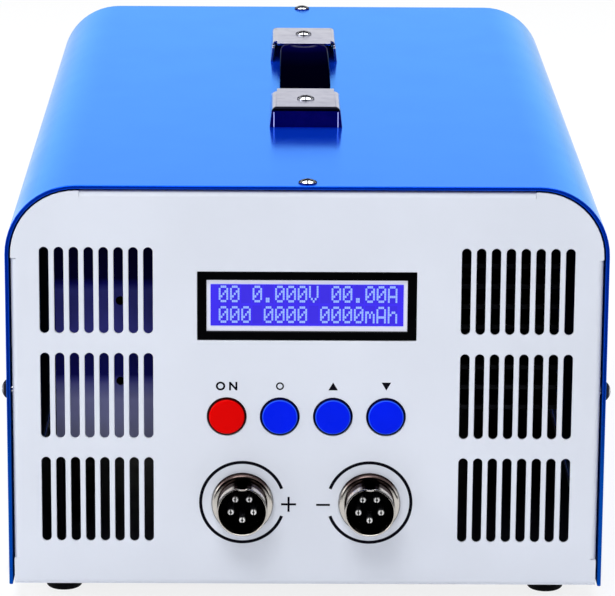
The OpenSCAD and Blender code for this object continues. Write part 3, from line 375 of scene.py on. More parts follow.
def cap_plate():
    """Nickel with a painted reflection of the dark blue in front of its end flaps, and painted shade, a black
    line, along the fold above them.
    """
    material = plated("bright nickel plate", (0.39, 0.395, 0.52), 0.17, 700, (1, 0.15, 1), 0.002)
    front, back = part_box("handle_front_cap")[0].y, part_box("handle_rear_cap")[1].y
    # painted reflection on the end flaps; the top keeps its colour
    flap, top = (0.30, 0.07, 0.36), (1, 1, 1)
    banded(material, "Y", [(front, flap), (front + 1.00 * MM, flap), (front + 1.35 * MM, top),
                           (back - 1.35 * MM, top), (back - 1.00 * MM, flap), (back, flap)])
    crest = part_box("handle_front_cap")[1].z
    # painted shade along each fold
    for end, way in ((front, 1), (back, -1)):
        fold = all_of(material, along(material, "Z", crest - 1.40 * MM, crest - 1.25 * MM),
                      along(material, "Y", end + way * 1.30 * MM, end + way * 1.00 * MM))
        shaded(material, fold, (0.012, 0.05, 0.02))
    return material


def strap_plastic():
    """Black plastic with painted shade that darkens it towards the front, leaving it a little bluer towards the
    back, and painted highlights from a coat only where its upper edges turn away.
    """
    material = moulded("black strap plastic", (0.003, 0.002, 0.10), 0.34, 0.006, specular=0.0)
    front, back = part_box("strap_front_flex")[0].y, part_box("strap_rear_flex")[1].y
    # painted shade along the strap, darkest at the front
    stops = ((0.0, 0.02), (0.45, 0.03), (0.65, 0.10), (0.82, 0.45), (1.0, 1.0))
    banded(material, "Y", [(front + (back - front) * share, (shade,) * 3) for share, shade in stops])
    # painted highlights: the coat only on the edges of the back part that turn away from the view
    upper = along(material, "Y", front + 0.35 * (back - front), front + 0.90 * (back - front))
    facing = node(material, "ShaderNodeLayerWeight", take="Facing")
    shine = ranged(material, facing, 0.862, 0.975, 0, 0.8)
    connect(material, all_of(material, shine, upper), "Coat Weight")
    return material


def socket_plate():
    """Turned nickel with painted light and shade on the thread of each barrel: a painted highlight at its front,
    painted shadow further back and on its flanks, blackest on top, and painted shade on the flange's top.
    """
    material = plated("turned nickel", (0.54, 0.515, 0.48), 0.16, 2600, (1, 0.2, 1), 0.003,
                      tint=(0.2, 0.2, 0.2, 1))
    thread = between(material, "Y", FACE_Y - 10.2 * MM, FACE_Y - 2.6 * MM)
    # painted highlight on the thread
    shaded(material, thread, (1.6, 1.55, 1.5))
    # painted shadow on the back of the thread, towards the flange
    rear = all_of(material, thread, along(material, "Y", FACE_Y - 7.6 * MM, FACE_Y - 6.2 * MM))
    shaded(material, rear, (0.10, 0.085, 0.09))
    axis_z = centre("positive_shell").z
    # painted shade on the flange's top
    flange_top = all_of(material, along(material, "Y", FACE_Y - 2.7 * MM, FACE_Y - 2.6 * MM),
                        along(material, "Z", axis_z + 3.5 * MM, axis_z + 6.5 * MM))
    shaded(material, flange_top, (0.16, 0.12, 0.12))
    for shell in ("positive_shell", "negative_shell"):
        x = centre(shell).x
        # painted shadow on each barrel's flanks and, blackest, on its top
        for near, far in ((x - 8.6 * MM, x - 7.3 * MM), (x + 7.3 * MM, x + 8.6 * MM)):
            flank = between(material, "X", near, far, 0.3 * MM)
            shaded(material, all_of(material, thread, flank), (0.04, 0.035, 0.035))
        top = between(material, "X", x - 2.9 * MM, x + 3.3 * MM, 0.5 * MM)
        shaded(material, all_of(material, thread, top), (0.012, 0.01, 0.012))
    return material


def pin_plate():
    """Silver pins in their black insulator, with painted shade on each pin behind its tip, so that only the tips
    show.
    """
    material = plated("silver plate", (0.98, 0.98, 0.97), 0.34, 1200, metallic=0.05)
    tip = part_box("positive_pins")[0].y
    # painted shade on the pins behind their tips
    return shaded(material, along(material, "Y", tip + 0.25 * MM, tip + 0.45 * MM), (0.03, 0.03, 0.035))


def screw_plate():
    """Polished steel with painted shade in its cross recesses, a painted dark blue reflection on the foot of the
    cover's heads, and painted dark reflections, matt, on the rims and in slits across the heads.
    """
    material = plated("polished screw steel", (0.80, 0.81, 0.83), 0.10, tint=(0.05, 0.05, 0.06, 1))
    cover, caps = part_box("cover")[1].z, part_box("handle_front_cap")[1].z
    # painted dark blue reflection on the foot of the cover's screw heads
    shaded(material, between(material, "Z", cover - 1 * MM, cover + 0.40 * MM), (0.04, 0.04, 0.16))
    low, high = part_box("handle_screws")
    heads = [(0, y, cover) for y in SCREW_YS] + [(0, y, caps) for y in (low.y + HEAD_R, high.y - HEAD_R)]
    # painted shade in the cross recesses
    for _, y, seat in heads[:1] + heads[2:]:
        recess = all_of(material, between(material, "Z", seat + 0.1 * MM, seat + 1.0 * MM),
                        between(material, "X", -1.6 * MM, 1.6 * MM),
                        between(material, "Y", y - 1.6 * MM, y + 1.6 * MM))
        shaded(material, recess, (0.02, 0.02, 0.025))
    # painted dark reflections: the rims and slits of the heads, and the rims of the side heads
    dark = []
    for at in heads:
        near = from_axis(material, at, (1, 1, 1), 4.0 * MM, 3.7 * MM)
        dark.append(all_of(material, near, from_axis(material, at, (1, 1, 0), 2.05 * MM, 2.20 * MM),
                           along(material, "Y", at[1] - 1.5 * MM, at[1] - 1.1 * MM)))
        dark.append(all_of(material, near, between(material, "X", -0.24 * MM, 0.24 * MM)))
    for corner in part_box("cover"):
        for y in SCREW_YS:
            at = (corner.x, y, SIDE_SCREW_Z)
            dark.append(all_of(material, from_axis(material, at, (1, 1, 1), 4.0 * MM, 3.7 * MM),
                               from_axis(material, at, (0, 1, 1), 1.95 * MM, 2.10 * MM)))
    dark = any_of(material, *dark)
    return matt_where(shaded(material, dark, (0.02, 0.02, 0.035)), dark)


def key_plastic(name, key, face, rim, edge):
    """Moulded key: its flat face, a painted highlight on its rounded rim, and painted shade on its edge."""
    material = moulded(name, (1, 1, 1), 0.28, 0.005, specular=0.03)
    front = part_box(key)[0].y
    # painted highlight on the rim and painted shade on the edge, front to back
    return banded(material, "Y", [(front, face), (front + 0.04 * MM, face), (front + 0.16 * MM, rim),
                                  (front + 0.34 * MM, rim), (front + 0.44 * MM, edge), (front + 1 * MM, edge)])


FINISHES = {
    "panel_white": lambda c: chassis_paint(c.panel),
    "cover_blue": lambda c: cover_paint(c.cover),
    "screw_steel": lambda c: screw_plate(),
    "foot_rubber": lambda c: moulded("black foot rubber", (0.0012, 0.0012, 0.002), 0.60, 0.02, specular=0.05),
    "zinc": lambda c: plated("zinc plate", (0.62, 0.64, 0.66), 0.34, 900, (1, 1, 0.2)),
    "cap_chrome": lambda c: cap_plate(),
    "strap_black": lambda c: strap_plastic(),
    "bezel_black": lambda c: moulded("black bezel lacquer", (0.0006, 0.0006, 0.001), 0.38, specular=0.05),
    "screen_blue": lambda c: glowing("lit blue screen", (0.01, 0.005, 0.10), c.screen, 0.18),
    "backlight_white": lambda c: glowing("pale screen border", (0.60, 0.62, 0.68), (0.30, 0.31, 0.37)),
    "board_green": lambda c: moulded("green solder mask", (0.012, 0.10, 0.045), 0.30, 0.01, coat=0.3),
    "spacer_brass": lambda c: plated("turned brass", (0.64, 0.47, 0.20), 0.28, 1500, (0.1, 1, 1)),
    "switch_black": lambda c: moulded("black switch plastic", (0.014, 0.014, 0.016), 0.45),
    # the rim and edge colours are painted highlight and painted shade
    "key_red": lambda c: key_plastic("red key plastic", "on_key", c.key_red, c.key_red, (0.05, 0, 0)),
    "key_blue": lambda c: key_plastic("blue key plastic", "set_key", c.key_blue, (0.02, 0.10, 0.90), (0, 0, 0.06)),
    "socket_nickel": lambda c: socket_plate(),
    "insert_black": lambda c: moulded("black insulator", (0.0008, 0.0008, 0.001), 0.42, specular=0.02),
    "pin_silver": lambda c: pin_plate(),
    # painted highlight, for the plates in the caps' seams
    "seam_bright": lambda c: plated("bright seam", (0.93, 0.92, 1.0), 0.40, metallic=0.0),
    "lead_red": lambda c: moulded("red silicone lead", (0.32, 0.008, 0.008), 0.45),
    "lead_black": lambda c: moulded("black silicone lead", (0.01, 0.01, 0.011), 0.45),
    "ribbon_grey": lambda c: moulded("grey ribbon", (0.30, 0.31, 0.33), 0.5, 0.03),
    "capacitor_sleeve": lambda c: moulded("shrink sleeve", (0.015, 0.017, 0.024), 0.22, 0.004, coat=0.4),
    "chip_black": lambda c: moulded("chip epoxy", (0.012, 0.012, 0.013), 0.55, 0.02),
    "sink_black": lambda c: plated("black anodised sink", (0.020, 0.021, 0.026), 0.42, 1400, (1, 0.05, 1)),
    "bracket_black": lambda c: moulded("black bracket paint", DARK, 0.5, specular=0.2),
    "supply_metal": lambda c: supply_paint(),
    "fan_black": lambda c: moulded("black fan plastic", (0.012, 0.012, 0.014), 0.48, 0.015),
    "rotor_black": lambda c: moulded("black rotor plastic", (0.014, 0.014, 0.016), 0.40, 0.010),
    "guard_chrome": lambda c: plated("bright guard wire", (0.76, 0.77, 0.79), 0.14, 600),
    "screw_black": lambda c: plated("black oxide screws", (0.05, 0.05, 0.055), 0.30, 900),
    "inlet_black": lambda c: moulded("black inlet nylon", (0.010, 0.010, 0.012), 0.42, 0.018),
    "rocker_black": lambda c: moulded("black rocker plastic", (0.012, 0.012, 0.014), 0.25, 0.005, coat=0.2),
    "data_nickel": lambda c: plated("nickel socket shell", (0.62, 0.63, 0.65), 0.26, 900),
    "ink": lambda c: moulded("dark print ink", c.ink, 0.55, 0.004, specular=0.02),
    "screen_dots": lambda c: glowing("lit screen dots", (0.05, 0.08, 0.12), c.dots, 0.4, 0.04),
    "screen_cells": lambda c: glowing("screen cells", (0.01, 0.005, 0.10), scaled(c.screen, 0.86)),
}
MADE = {}


def finish_of(slot):
    """The material of a record slot, made when it is first asked for."""
    if slot not in MADE:
        MADE[slot] = FINISHES[slot](bpy.context.scene.tester_colours)
    return MADE[slot]


# ---------------- meshes

def linked(name, data):
    """A new object with its data, linked to the scene."""
    made = bpy.data.objects.new(name, data)
    bpy.context.scene.collection.objects.link(made)
    return made


def new_piece(name, mesh, slot, body, replaced=()):
    """Links a finished mesh as a piece with the finish of its slot, parents it to its body's empty, and hides the
    nodes it stands for.
    """
    piece = linked(name, mesh)
    mesh.materials.clear()
    mesh.materials.append(finish_of(slot))
    if replaced:
        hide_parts(*replaced)
    if body:
        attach(piece, body)
    return piece


def mesh_of(name, work, merge=1e-6, outward=False):
    """Turns a bmesh into a mesh. outward recalculates the normals of a closed shape."""
    if merge:
        bmesh.ops.remove_doubles(work, verts=work.verts, dist=merge)
    if outward:
        bmesh.ops.recalc_face_normals(work, faces=work.faces)
    mesh = bpy.data.meshes.new(name)
    work.to_mesh(mesh)
    work.free()
    return mesh


def smooth_by_angle(mesh, degrees=35):
    """Smooth faces, with sharp edges where the fold is steeper than the angle."""
    work = bmesh.new()
    work.from_mesh(mesh)
    limit = math.radians(degrees)
    for face in work.faces:
        face.smooth = True
    for edge in work.edges:
        edge.smooth = len(edge.link_faces) == 2 and edge.calc_face_angle(0) < limit
    work.to_mesh(mesh)
    work.free()
    return mesh


def bake(helper):
    """The evaluated mesh of a helper object, as plain data. The helper goes."""
    bpy.context.view_layer.update()
    depsgraph = bpy.context.evaluated_depsgraph_get()
    mesh = bpy.data.meshes.new_from_object(helper.evaluated_get(depsgraph), depsgraph=depsgraph)
    bpy.data.objects.remove(helper)
    return mesh


def put_back(mesh, surface, limit):
    """Draws any vertex that the rounding threw off the surface back to the middle of its good neighbours."""
    stray = {vert.index: [] for vert in mesh.vertices if surface.find_nearest(vert.co)[3] > limit}
    for edge in mesh.edges:
        for one, other in (edge.vertices, reversed(edge.vertices)):
            if one in stray and other not in stray:
                stray[one].append(mesh.vertices[other].co.copy())
    for index, places in stray.items():
        mesh.vertices[index].co = sum(places, Vector()) / len(places)


def bevelled(mesh, width_mm, segments):
    """The mesh with its sharp edges rounded and its normals kept flat on the flats."""
    if not width_mm:
        return smooth_by_angle(mesh)
    sharp_degrees = 30
    smooth_by_angle(mesh, sharp_degrees)
    surface = BVHTree.FromPolygons([vert.co for vert in mesh.vertices],
                                   [face.vertices for face in mesh.polygons])
    helper = linked("helper", mesh)
    edges = helper.modifiers.new("soft edges", "BEVEL")
    edges.width = width_mm * MM
    edges.segments = segments
    edges.limit_method = "ANGLE"
    edges.angle_limit = math.radians(sharp_degrees)
    edges.use_clamp_overlap = False
    edges.loop_slide = False
    edges.harden_normals = True
    result = bake(helper)
    put_back(result, surface, width_mm * MM * 0.6)
    return result


def cad_copy(node_name):
    """A merged copy of a CAD node's triangles."""
    work = bmesh.new()
    work.from_mesh(NODES[node_name].data)
    plain = mesh_of(node_name, work, merge=0.02 * MM)
    for attribute in [a for a in plain.attributes if a.name == "custom_normal"]:
        plain.attributes.remove(attribute)
    return plain


def soften(node_name, width_mm, name, segments=2):
    """A piece that stands for a CAD node, with its edges softened."""
    mesh = bevelled(cad_copy(node_name), width_mm, segments)
    return new_piece(name, mesh, SLOT_OF[node_name], BODY_OF[node_name], (node_name,))


def repaint(*node_names):
    """Gives CAD nodes that keep their shape the material of their slot."""
    for name in node_names:
        NODES[name].data.materials.clear()
        NODES[name].data.materials.append(finish_of(SLOT_OF[name]))


def band(work, here, there, closed=True):
    """Faces between two lines of vertices, which may close into rings."""
    count = len(here)
    return [work.faces.new((here[index], here[(index + 1) % count], there[(index + 1) % count], there[index]))
            for index in range(count if closed else count - 1)]


def wrapped(work, lines, closed=True):
    """Bands from each line of vertices to the next, and from the last back to the first."""
    pairs = zip(lines, lines[1:] + lines[:1])
    return [face for here, there in pairs for face in band(work, here, there, closed)]


def line_of(work, points, y):
    """Vertices on (x, z) points at one depth."""
    return [work.verts.new((x, y, z)) for x, z in points]


def strip_plate(work, pairs, y_front, y_back, closed=False):
    """A thin closed plate facing -Y between two lines of (x, z) points."""
    inner, outer = zip(*pairs)
    lines = [line_of(work, points, y) for points, y in (
        (outer, y_front), (inner, y_front), (inner, y_back), (outer, y_back))]
    wrapped(work, lines, closed)
    if not closed:
        for end in (0, -1):
            work.faces.new([line[end] for line in lines])


def outline_plate(work, outline, y_front, y_back):
    """A thin closed plate facing -Y with an outline of (x, z) points."""
    front, back = line_of(work, outline, y_front), line_of(work, outline, y_back)
    work.faces.new(front)
    work.faces.new(back[::-1])
    band(work, back, front)


def rims(x, z, radii, angles):
    """Points on circles with one centre, together at each angle."""
    return [tuple((x + radius * math.cos(angle), z + radius * math.sin(angle)) for radius in radii)
            for angle in angles]


# ---------------- geometry nodes

def node_tree(name, inputs):
    """An empty geometry tree with a geometry input and output and the named inputs."""
    tree = bpy.data.node_groups.new(name, "GeometryNodeTree")
    tree.interface.new_socket("Geometry", in_out="INPUT", socket_type="NodeSocketGeometry")
    for label, kind in inputs:
        tree.interface.new_socket(label, in_out="INPUT", socket_type="NodeSocket" + kind)
    tree.interface.new_socket("Geometry", in_out="OUTPUT", socket_type="NodeSocketGeometry")
    return tree, tree.nodes.new("NodeGroupInput").outputs, tree.nodes.new("NodeGroupOutput")


def grown(name, points, tree, values, axes=None):
    """Runs a tree on a cloud of points and returns the plain mesh. axes are the directions of the points."""
    cloud = bpy.data.meshes.new(name + " points")
    cloud.from_pydata([tuple(point) for point in points], [], [])
    if axes:
        cloud.attributes.new("axis", "FLOAT_VECTOR", "POINT")
        cloud.attributes["axis"].data.foreach_set("vector", [c for axis in axes for c in axis])
    helper = linked(name + " helper", cloud)
    modifier = helper.modifiers.new("grow", "NODES")
    modifier.node_group = tree
    for item in tree.interface.items_tree:
        if item.in_out == "INPUT" and item.name in values:
            modifier[item.identifier] = values[item.name]
    return bake(helper)


def finished(tree, ins, out, instances):
    """Ends a tree: real geometry with its material."""
    real = node(tree, "GeometryNodeRealizeInstances", {"Geometry": instances})
    paint = node(tree, "GeometryNodeSetMaterial", {"Geometry": real, "Material": ins["Finish"]})
    tree.links.new(paint, out.inputs["Geometry"])
    return tree


def fastener_tree():
    """Stands a fastener on each point, along the point's axis, with its recess turned at random."""
    tree, ins, out = node_tree("fasteners", (("Fastener", "Object"), ("Turn", "Float"), ("Seed", "Int"),
                                             ("Finish", "Material")))
    axis = node(tree, "GeometryNodeInputNamedAttribute", {"Name": "axis"}, "Attribute",
                data_type="FLOAT_VECTOR")
    align = node(tree, "FunctionNodeAlignRotationToVector", {"Vector": axis}, "Rotation", axis="Z")
    chance = node(tree, "FunctionNodeRandomValue", {"Seed": ins["Seed"], 3: ins["Turn"]}, 1)
    spin = node(tree, "ShaderNodeCombineXYZ", {"Z": chance})
    turn = node(tree, "FunctionNodeEulerToRotation", {"Euler": spin})
    both = node(tree, "FunctionNodeRotateRotation", {"Rotation": align, "Rotate By": turn},
                rotation_space="LOCAL")
    source = node(tree, "GeometryNodeObjectInfo", {"Object": ins["Fastener"]}, "Geometry")
    place = node(tree, "GeometryNodeInstanceOnPoints", {"Points": ins["Geometry"], "Instance": source,
                                                        "Rotation": both})
    return finished(tree, ins, out, place)


def tile_tree():
    """Lays a small flat tile on each point, for the dots and cells of the display."""
    tree, ins, out = node_tree("tiles", (("Width", "Float"), ("Height", "Float"), ("Depth", "Float"),
                                         ("Finish", "Material")))
    size = node(tree, "ShaderNodeCombineXYZ", {"X": ins["Width"], "Y": ins["Depth"], "Z": ins["Height"]})
    tile = node(tree, "GeometryNodeMeshCube", {"Size": size}, "Mesh")
    place = node(tree, "GeometryNodeInstanceOnPoints", {"Points": ins["Geometry"], "Instance": tile})
    return finished(tree, ins, out, place)


def cross_screw(head_r, head_h, shank_r, shank_l):
    """A pan-head screw along +Z, seat at z = 0, with a tapered cross recess. Sizes in millimetres."""
    crown_r, rise = head_r * 0.96, head_h * 0.66
    ball_r = (crown_r ** 2 + rise ** 2) / (2 * rise)
    profile = [(0.0, head_h)]
    for step in range(1, 9):
        angle = math.asin(crown_r / ball_r) * step / 8
        profile.append((ball_r * math.sin(angle), head_h - ball_r * (1 - math.cos(angle))))
    profile += [(head_r, head_h * 0.25), (head_r, head_h * 0.10), (head_r * 0.95, 0.0), (shank_r, 0.0),
                (shank_r, -shank_l + 0.4), (shank_r - 0.35, -shank_l), (0.0, -shank_l)]
    work = bmesh.new()
    verts = [work.verts.new((radius * MM, 0, z * MM)) for radius, z in profile]
    edges = [work.edges.new(pair) for pair in zip(verts, verts[1:])]
    bmesh.ops.spin(work, geom=verts + edges, cent=(0, 0, 0), axis=(0, 0, 1),
                   angle=2 * math.pi, steps=40, use_merge=True)
    screw = linked("screw", mesh_of("screw", work, outward=True))
    cutter = bmesh.new()
    for turn in (0, 90):
        arm = bmesh.ops.create_cube(cutter, size=1.0)["verts"]
        for vert in arm:
            reach, height = (0.28, 0.30) if vert.co.z < 0 else (0.52, 1.4)
            vert.co = Vector((vert.co.x * 2 * head_r * reach, vert.co.y * head_r * 0.20, head_h * height)) * MM
        bmesh.ops.rotate(cutter, verts=arm, matrix=Matrix.Rotation(math.radians(turn), 3, "Z"))
    blade = linked("blade", mesh_of("blade", cutter, merge=0))
    cut = screw.modifiers.new("recess", "BOOLEAN")
    cut.operation = "DIFFERENCE"
    cut.solver = "EXACT"
    cut.use_self = True
    cut.object = blade
    mesh = smooth_by_angle(bake(screw), 40)
    bpy.data.objects.remove(blade)
    return mesh


def screws(name, node_name, points, axes, sizes, turn, seed):
    """One piece with every fastener of a CAD node."""
    template = linked("template", cross_screw(*sizes))
    slot = SLOT_OF[node_name]
    mesh = grown(name, points, fastener_tree(), {"Fastener": template, "Turn": turn, "Seed": seed,
                                                 "Finish": finish_of(slot)}, axes)
    bpy.data.objects.remove(template)
    return new_piece(name, mesh, slot, BODY_OF[node_name], (node_name,))


# ---------------- settings

def colour_prop(label, description, default):
    return FloatVectorProperty(name=label, description=description, default=default, min=0, max=1,
                               subtype="COLOR")


def length_prop(label, description, default, low, high):
    return FloatProperty(name=label, description=description, default=default, min=low, max=high, unit="LENGTH")


def power_prop(label, description, default, high):
    return FloatProperty(name=label, description=description, default=default, min=0, max=high, unit="POWER")


class TesterColours(PropertyGroup):
    """Paint, print and light colours"""
    panel: colour_prop("Panel", "White powder coat of the chassis", (0.74, 0.775, 0.86))
    cover: colour_prop("Cover", "Blue lacquer of the cover", (0.0, 0.062, 1.0))
    ink: colour_prop("Ink", "Printed rings, signs and labels", (0.004, 0.004, 0.008))
    screen: colour_prop("Screen", "Light of the blue screen", (0.044, 0.026, 0.80))
    dots: colour_prop("Dots", "Light of the characters", (0.29, 0.42, 1.0))
    key_red: colour_prop("Red key", "Plastic of the first key", (0.78, 0.0, 0.0))
    key_blue: colour_prop("Blue keys", "Plastic of the other keys", (0.0, 0.014, 0.90))


class TesterSizes(PropertyGroup):
    """Sizes of the printed and softened details"""
    sheet_edge: length_prop("Sheet edge", "Rounding of the sheet metal's edges", 0.00022, 0, 0.0005)
    ring_r: length_prop("Ring radius", "Middle radius of the printed rings", 0.01331, 0.0115, 0.016)
    ring_line: length_prop("Ring line", "Width of the printed rings", 0.0010, 0.0003, 0.002)
    ring_gap: FloatProperty(name="Ring gap", description="Half the angle that a ring leaves open at its sign",
                            default=math.radians(20), min=0, max=math.radians(60), subtype="ANGLE")
    ink_t: length_prop("Ink thickness", "How far the print stands on the paint", 0.00004, 0.00001, 0.0001)
    screw_head: length_prop("Screw head", "Height of the flat domed heads on the cover", 0.0013, 0.0008, 0.0016)
    label_h: length_prop("Label height", "Height of the marks over the keys", 0.0026, 0.0015, 0.004)
    label_bold: length_prop("Label weight", "How much the label's strokes are thickened", 0.00013, 0, 0.0003)
    dot_pitch_x: length_prop("Dot pitch across", "Spacing of a character's dots", 0.00060, 0.0004, 0.0008)
    dot_pitch_z: length_prop("Dot pitch up", "Spacing of a character's rows of dots", 0.00078, 0.0005, 0.0009)
    thread_depth: length_prop("Thread depth", "Depth of the thread on the socket barrels", 0.00028, 0, 0.0004)
    thread_pitch: length_prop("Thread pitch", "Pitch of the thread on the socket barrels", 0.001, 0.0006, 0.002)


class TesterDisplay(PropertyGroup):
    """What the display shows"""
    first_row: StringProperty(name="First row", description="Sixteen of 0 . V A m h and space",
                              default="00 0.000V 00.00A", maxlen=16)
    second_row: StringProperty(name="Second row", description="Sixteen of 0 . V A m h and space",
                               default="000 0000 0000mAh", maxlen=16)


class TesterStage(PropertyGroup):
    """Light and camera"""
    key_light: power_prop("Key light", "Power of the soft light over the front", 14.6, 60)
    top_light: power_prop("Top light", "Power of the soft light over the cover", 13.0, 60)
    left_light: power_prop("Left light", "Power of the soft light on the left", 6.6, 30)
    right_light: power_prop("Right light", "Power of the soft light on the right", 0.5, 30)
    room: FloatProperty(name="Room", description="Strength of the even light from all round", default=0.34,
                        min=0, max=1)
    lens: FloatProperty(name="Lens", description="Focal length in millimetres", default=209.66, min=20, max=400)
    screw_seed: IntProperty(name="Screw seed", description="Seed of the screws' random turn", default=4, min=0)

# ---------------- operators

class TesterOperator(Operator):
    """One group of pieces"""
    bl_options = {"INTERNAL"}

    def build(self, scene):
        raise NotImplementedError

    def execute(self, context):
        self.build(context.scene)
        return {"FINISHED"}


class TESTER_OT_case(TesterOperator):
    """Paints the folded chassis and the cover, with soft sheet edges"""
    bl_idname = "tester.case"
    bl_label = "Case"

    def build(self, scene):
        edge = scene.tester_sizes.sheet_edge / MM
        soften("chassis", edge, "painted_chassis")
        soften("cover", edge * 1.6, "painted_cover", segments=3)
        soften("feet", 0.35, "rubber_feet")


class TESTER_OT_marks(TesterOperator):
    """Prints the rings and signs of the sockets and the marks over the keys"""
    bl_idname = "tester.marks"
    bl_label = "Printed marks"

    def build(self, scene):
        sizes = scene.tester_sizes
        front, back = FACE_Y - sizes.ink_t, FACE_Y + 0.02 * MM
        radii = (sizes.ring_r - sizes.ring_line / 2, sizes.ring_r + sizes.ring_line / 2)
        work = bmesh.new()
        for shell, towards in (("positive_shell", 0), ("negative_shell", math.pi)):
            at = centre(shell)
            sweep = 2 * math.pi - 2 * sizes.ring_gap
            angles = [towards + sizes.ring_gap + sweep * step / 96 for step in range(97)]
            strip_plate(work, rims(at.x, at.z, radii, angles), front, back)
        self.sign(work, -5.5, 27.35, 2.4, 2.5, 0.34, front, back)
        self.sign(work, 5.5, 27.2, 2.2, 0.33, 0.33, front, back)
        new_piece("printed_signs", mesh_of("printed_signs", work, outward=True), "ink", "case")
        low = FOOT_H + 65.3 * MM
        self.symbols(low + sizes.label_h / 2, sizes.label_h / 2, front, back)
        self.word(low, sizes)

    @staticmethod
    def sign(work, x, z, arm_x, arm_z, half, front, back):
        """A plus sign, or a minus sign if arm_z is half. Millimetres from the panel's middle and lower edge."""
        corners = [(-arm_x, -half), (-half, -half), (-half, -arm_z), (half, -arm_z), (half, -half),
                   (arm_x, -half)]
        if arm_z <= half:
            corners = [corners[0], corners[5]]
        corners += [(-right, -up) for right, up in corners]
        outline = [((x + right) * MM, FOOT_H + (z + up) * MM) for right, up in corners]
        outline_plate(work, outline, front, back)

    @staticmethod
    def symbols(middle, half, front, back):
        """A ring over the second key and a triangle over each of the last two."""
        work = bmesh.new()
        angles = [2 * math.pi * step / 32 for step in range(32)]
        ring = rims(centre("set_key").x, middle, (half * 0.62, half * 0.98), angles)
        strip_plate(work, ring, front, back, closed=True)
        for key, way in (("up_key", 1), ("down_key", -1)):
            x, foot, tip = centre(key).x, middle - way * half, middle + way * half
            outline_plate(work, [(x - half * 1.15, foot), (x + half * 1.15, foot), (x, tip)], front, back)
        new_piece("key_symbols", mesh_of("key_symbols", work, outward=True), "ink", "case")

    @staticmethod
    def word(low, sizes):
        """The word over the red key, in raised ink."""
        words = bpy.data.curves.new("key_word", "FONT")
        words.body = "O N"
        words.align_x = "CENTER"
        words.size = sizes.label_h / 0.70
        words.extrude = sizes.ink_t / 2
        words.offset = sizes.label_bold
        mesh = bake(linked("key_word", words))
        mesh.transform(Matrix.Translation((centre("on_key").x, FACE_Y - sizes.ink_t / 2 + 1e-6, low))
                       @ Matrix.Rotation(math.radians(90), 4, "X"))
        new_piece("key_word", mesh, "ink", "case")


class TESTER_OT_screws(TesterOperator):
    """Sets the screws of the cover, the handle, the fans and the feet"""
    bl_idname = "tester.screws"
    bl_label = "Screws"

    def build(self, scene):
        seed = scene.tester_stage.screw_seed
        head, head_r = scene.tester_sizes.screw_head / MM, HEAD_R / MM
        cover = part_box("cover")
        screws("cover_screws_dressed", "cover_screws", [Vector((0, y, cover[1].z)) for y in SCREW_YS],
               [(0, 0, 1)] * 2, (head_r, head, 1.5, 4.2), 0.9, seed)
        points = [Vector((corner.x, y, SIDE_SCREW_Z)) for y in SCREW_YS for corner in cover]
        screws("side_screws_dressed", "cover_screws", points, [(-1, 0, 0), (1, 0, 0)] * 2,
               (head_r, 1.8, 1.5, 4.2), 0.9, seed + 1)
        low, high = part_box("handle_screws")
        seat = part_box("handle_front_cap")[1].z
        points = [Vector((0, y, seat)) for y in (low.y + HEAD_R, high.y - HEAD_R)]
        screws("handle_screws_dressed", "handle_screws", points, [(0, 0, 1)] * 2,
               (head_r, head, 1.5, (seat - low.z) / MM), 0.5, seed + 3)
        low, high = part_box("fan_screws")
        fan_head = 2.4
        points = [Vector((at.x + across * FAN_HOLE, high.y - fan_head * MM, at.z + up * FAN_HOLE))
                  for at in (centre("left_fan_frame"), centre("right_fan_frame"))
                  for across in (-1, 1) for up in (-1, 1)]
        screws("fan_screws_dressed", "fan_screws", points, [(0, 1, 0)] * 8,
               (4.2, fan_head, 2.0, (high.y - low.y) / MM - fan_head), 1.5, seed + 5)
        low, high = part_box("foot_screws")
        foot_seat = 4.5 * MM
        points = [Vector((x, y, foot_seat)) for x in (low.x + HEAD_R, high.x - HEAD_R)
                  for y in (low.y + HEAD_R, high.y - HEAD_R)]
        screws("foot_screws_dressed", "foot_screws", points, [(0, 0, -1)] * 4,
               (head_r, 1.9, 1.5, (high.z - foot_seat) / MM), 1.5, seed + 9)


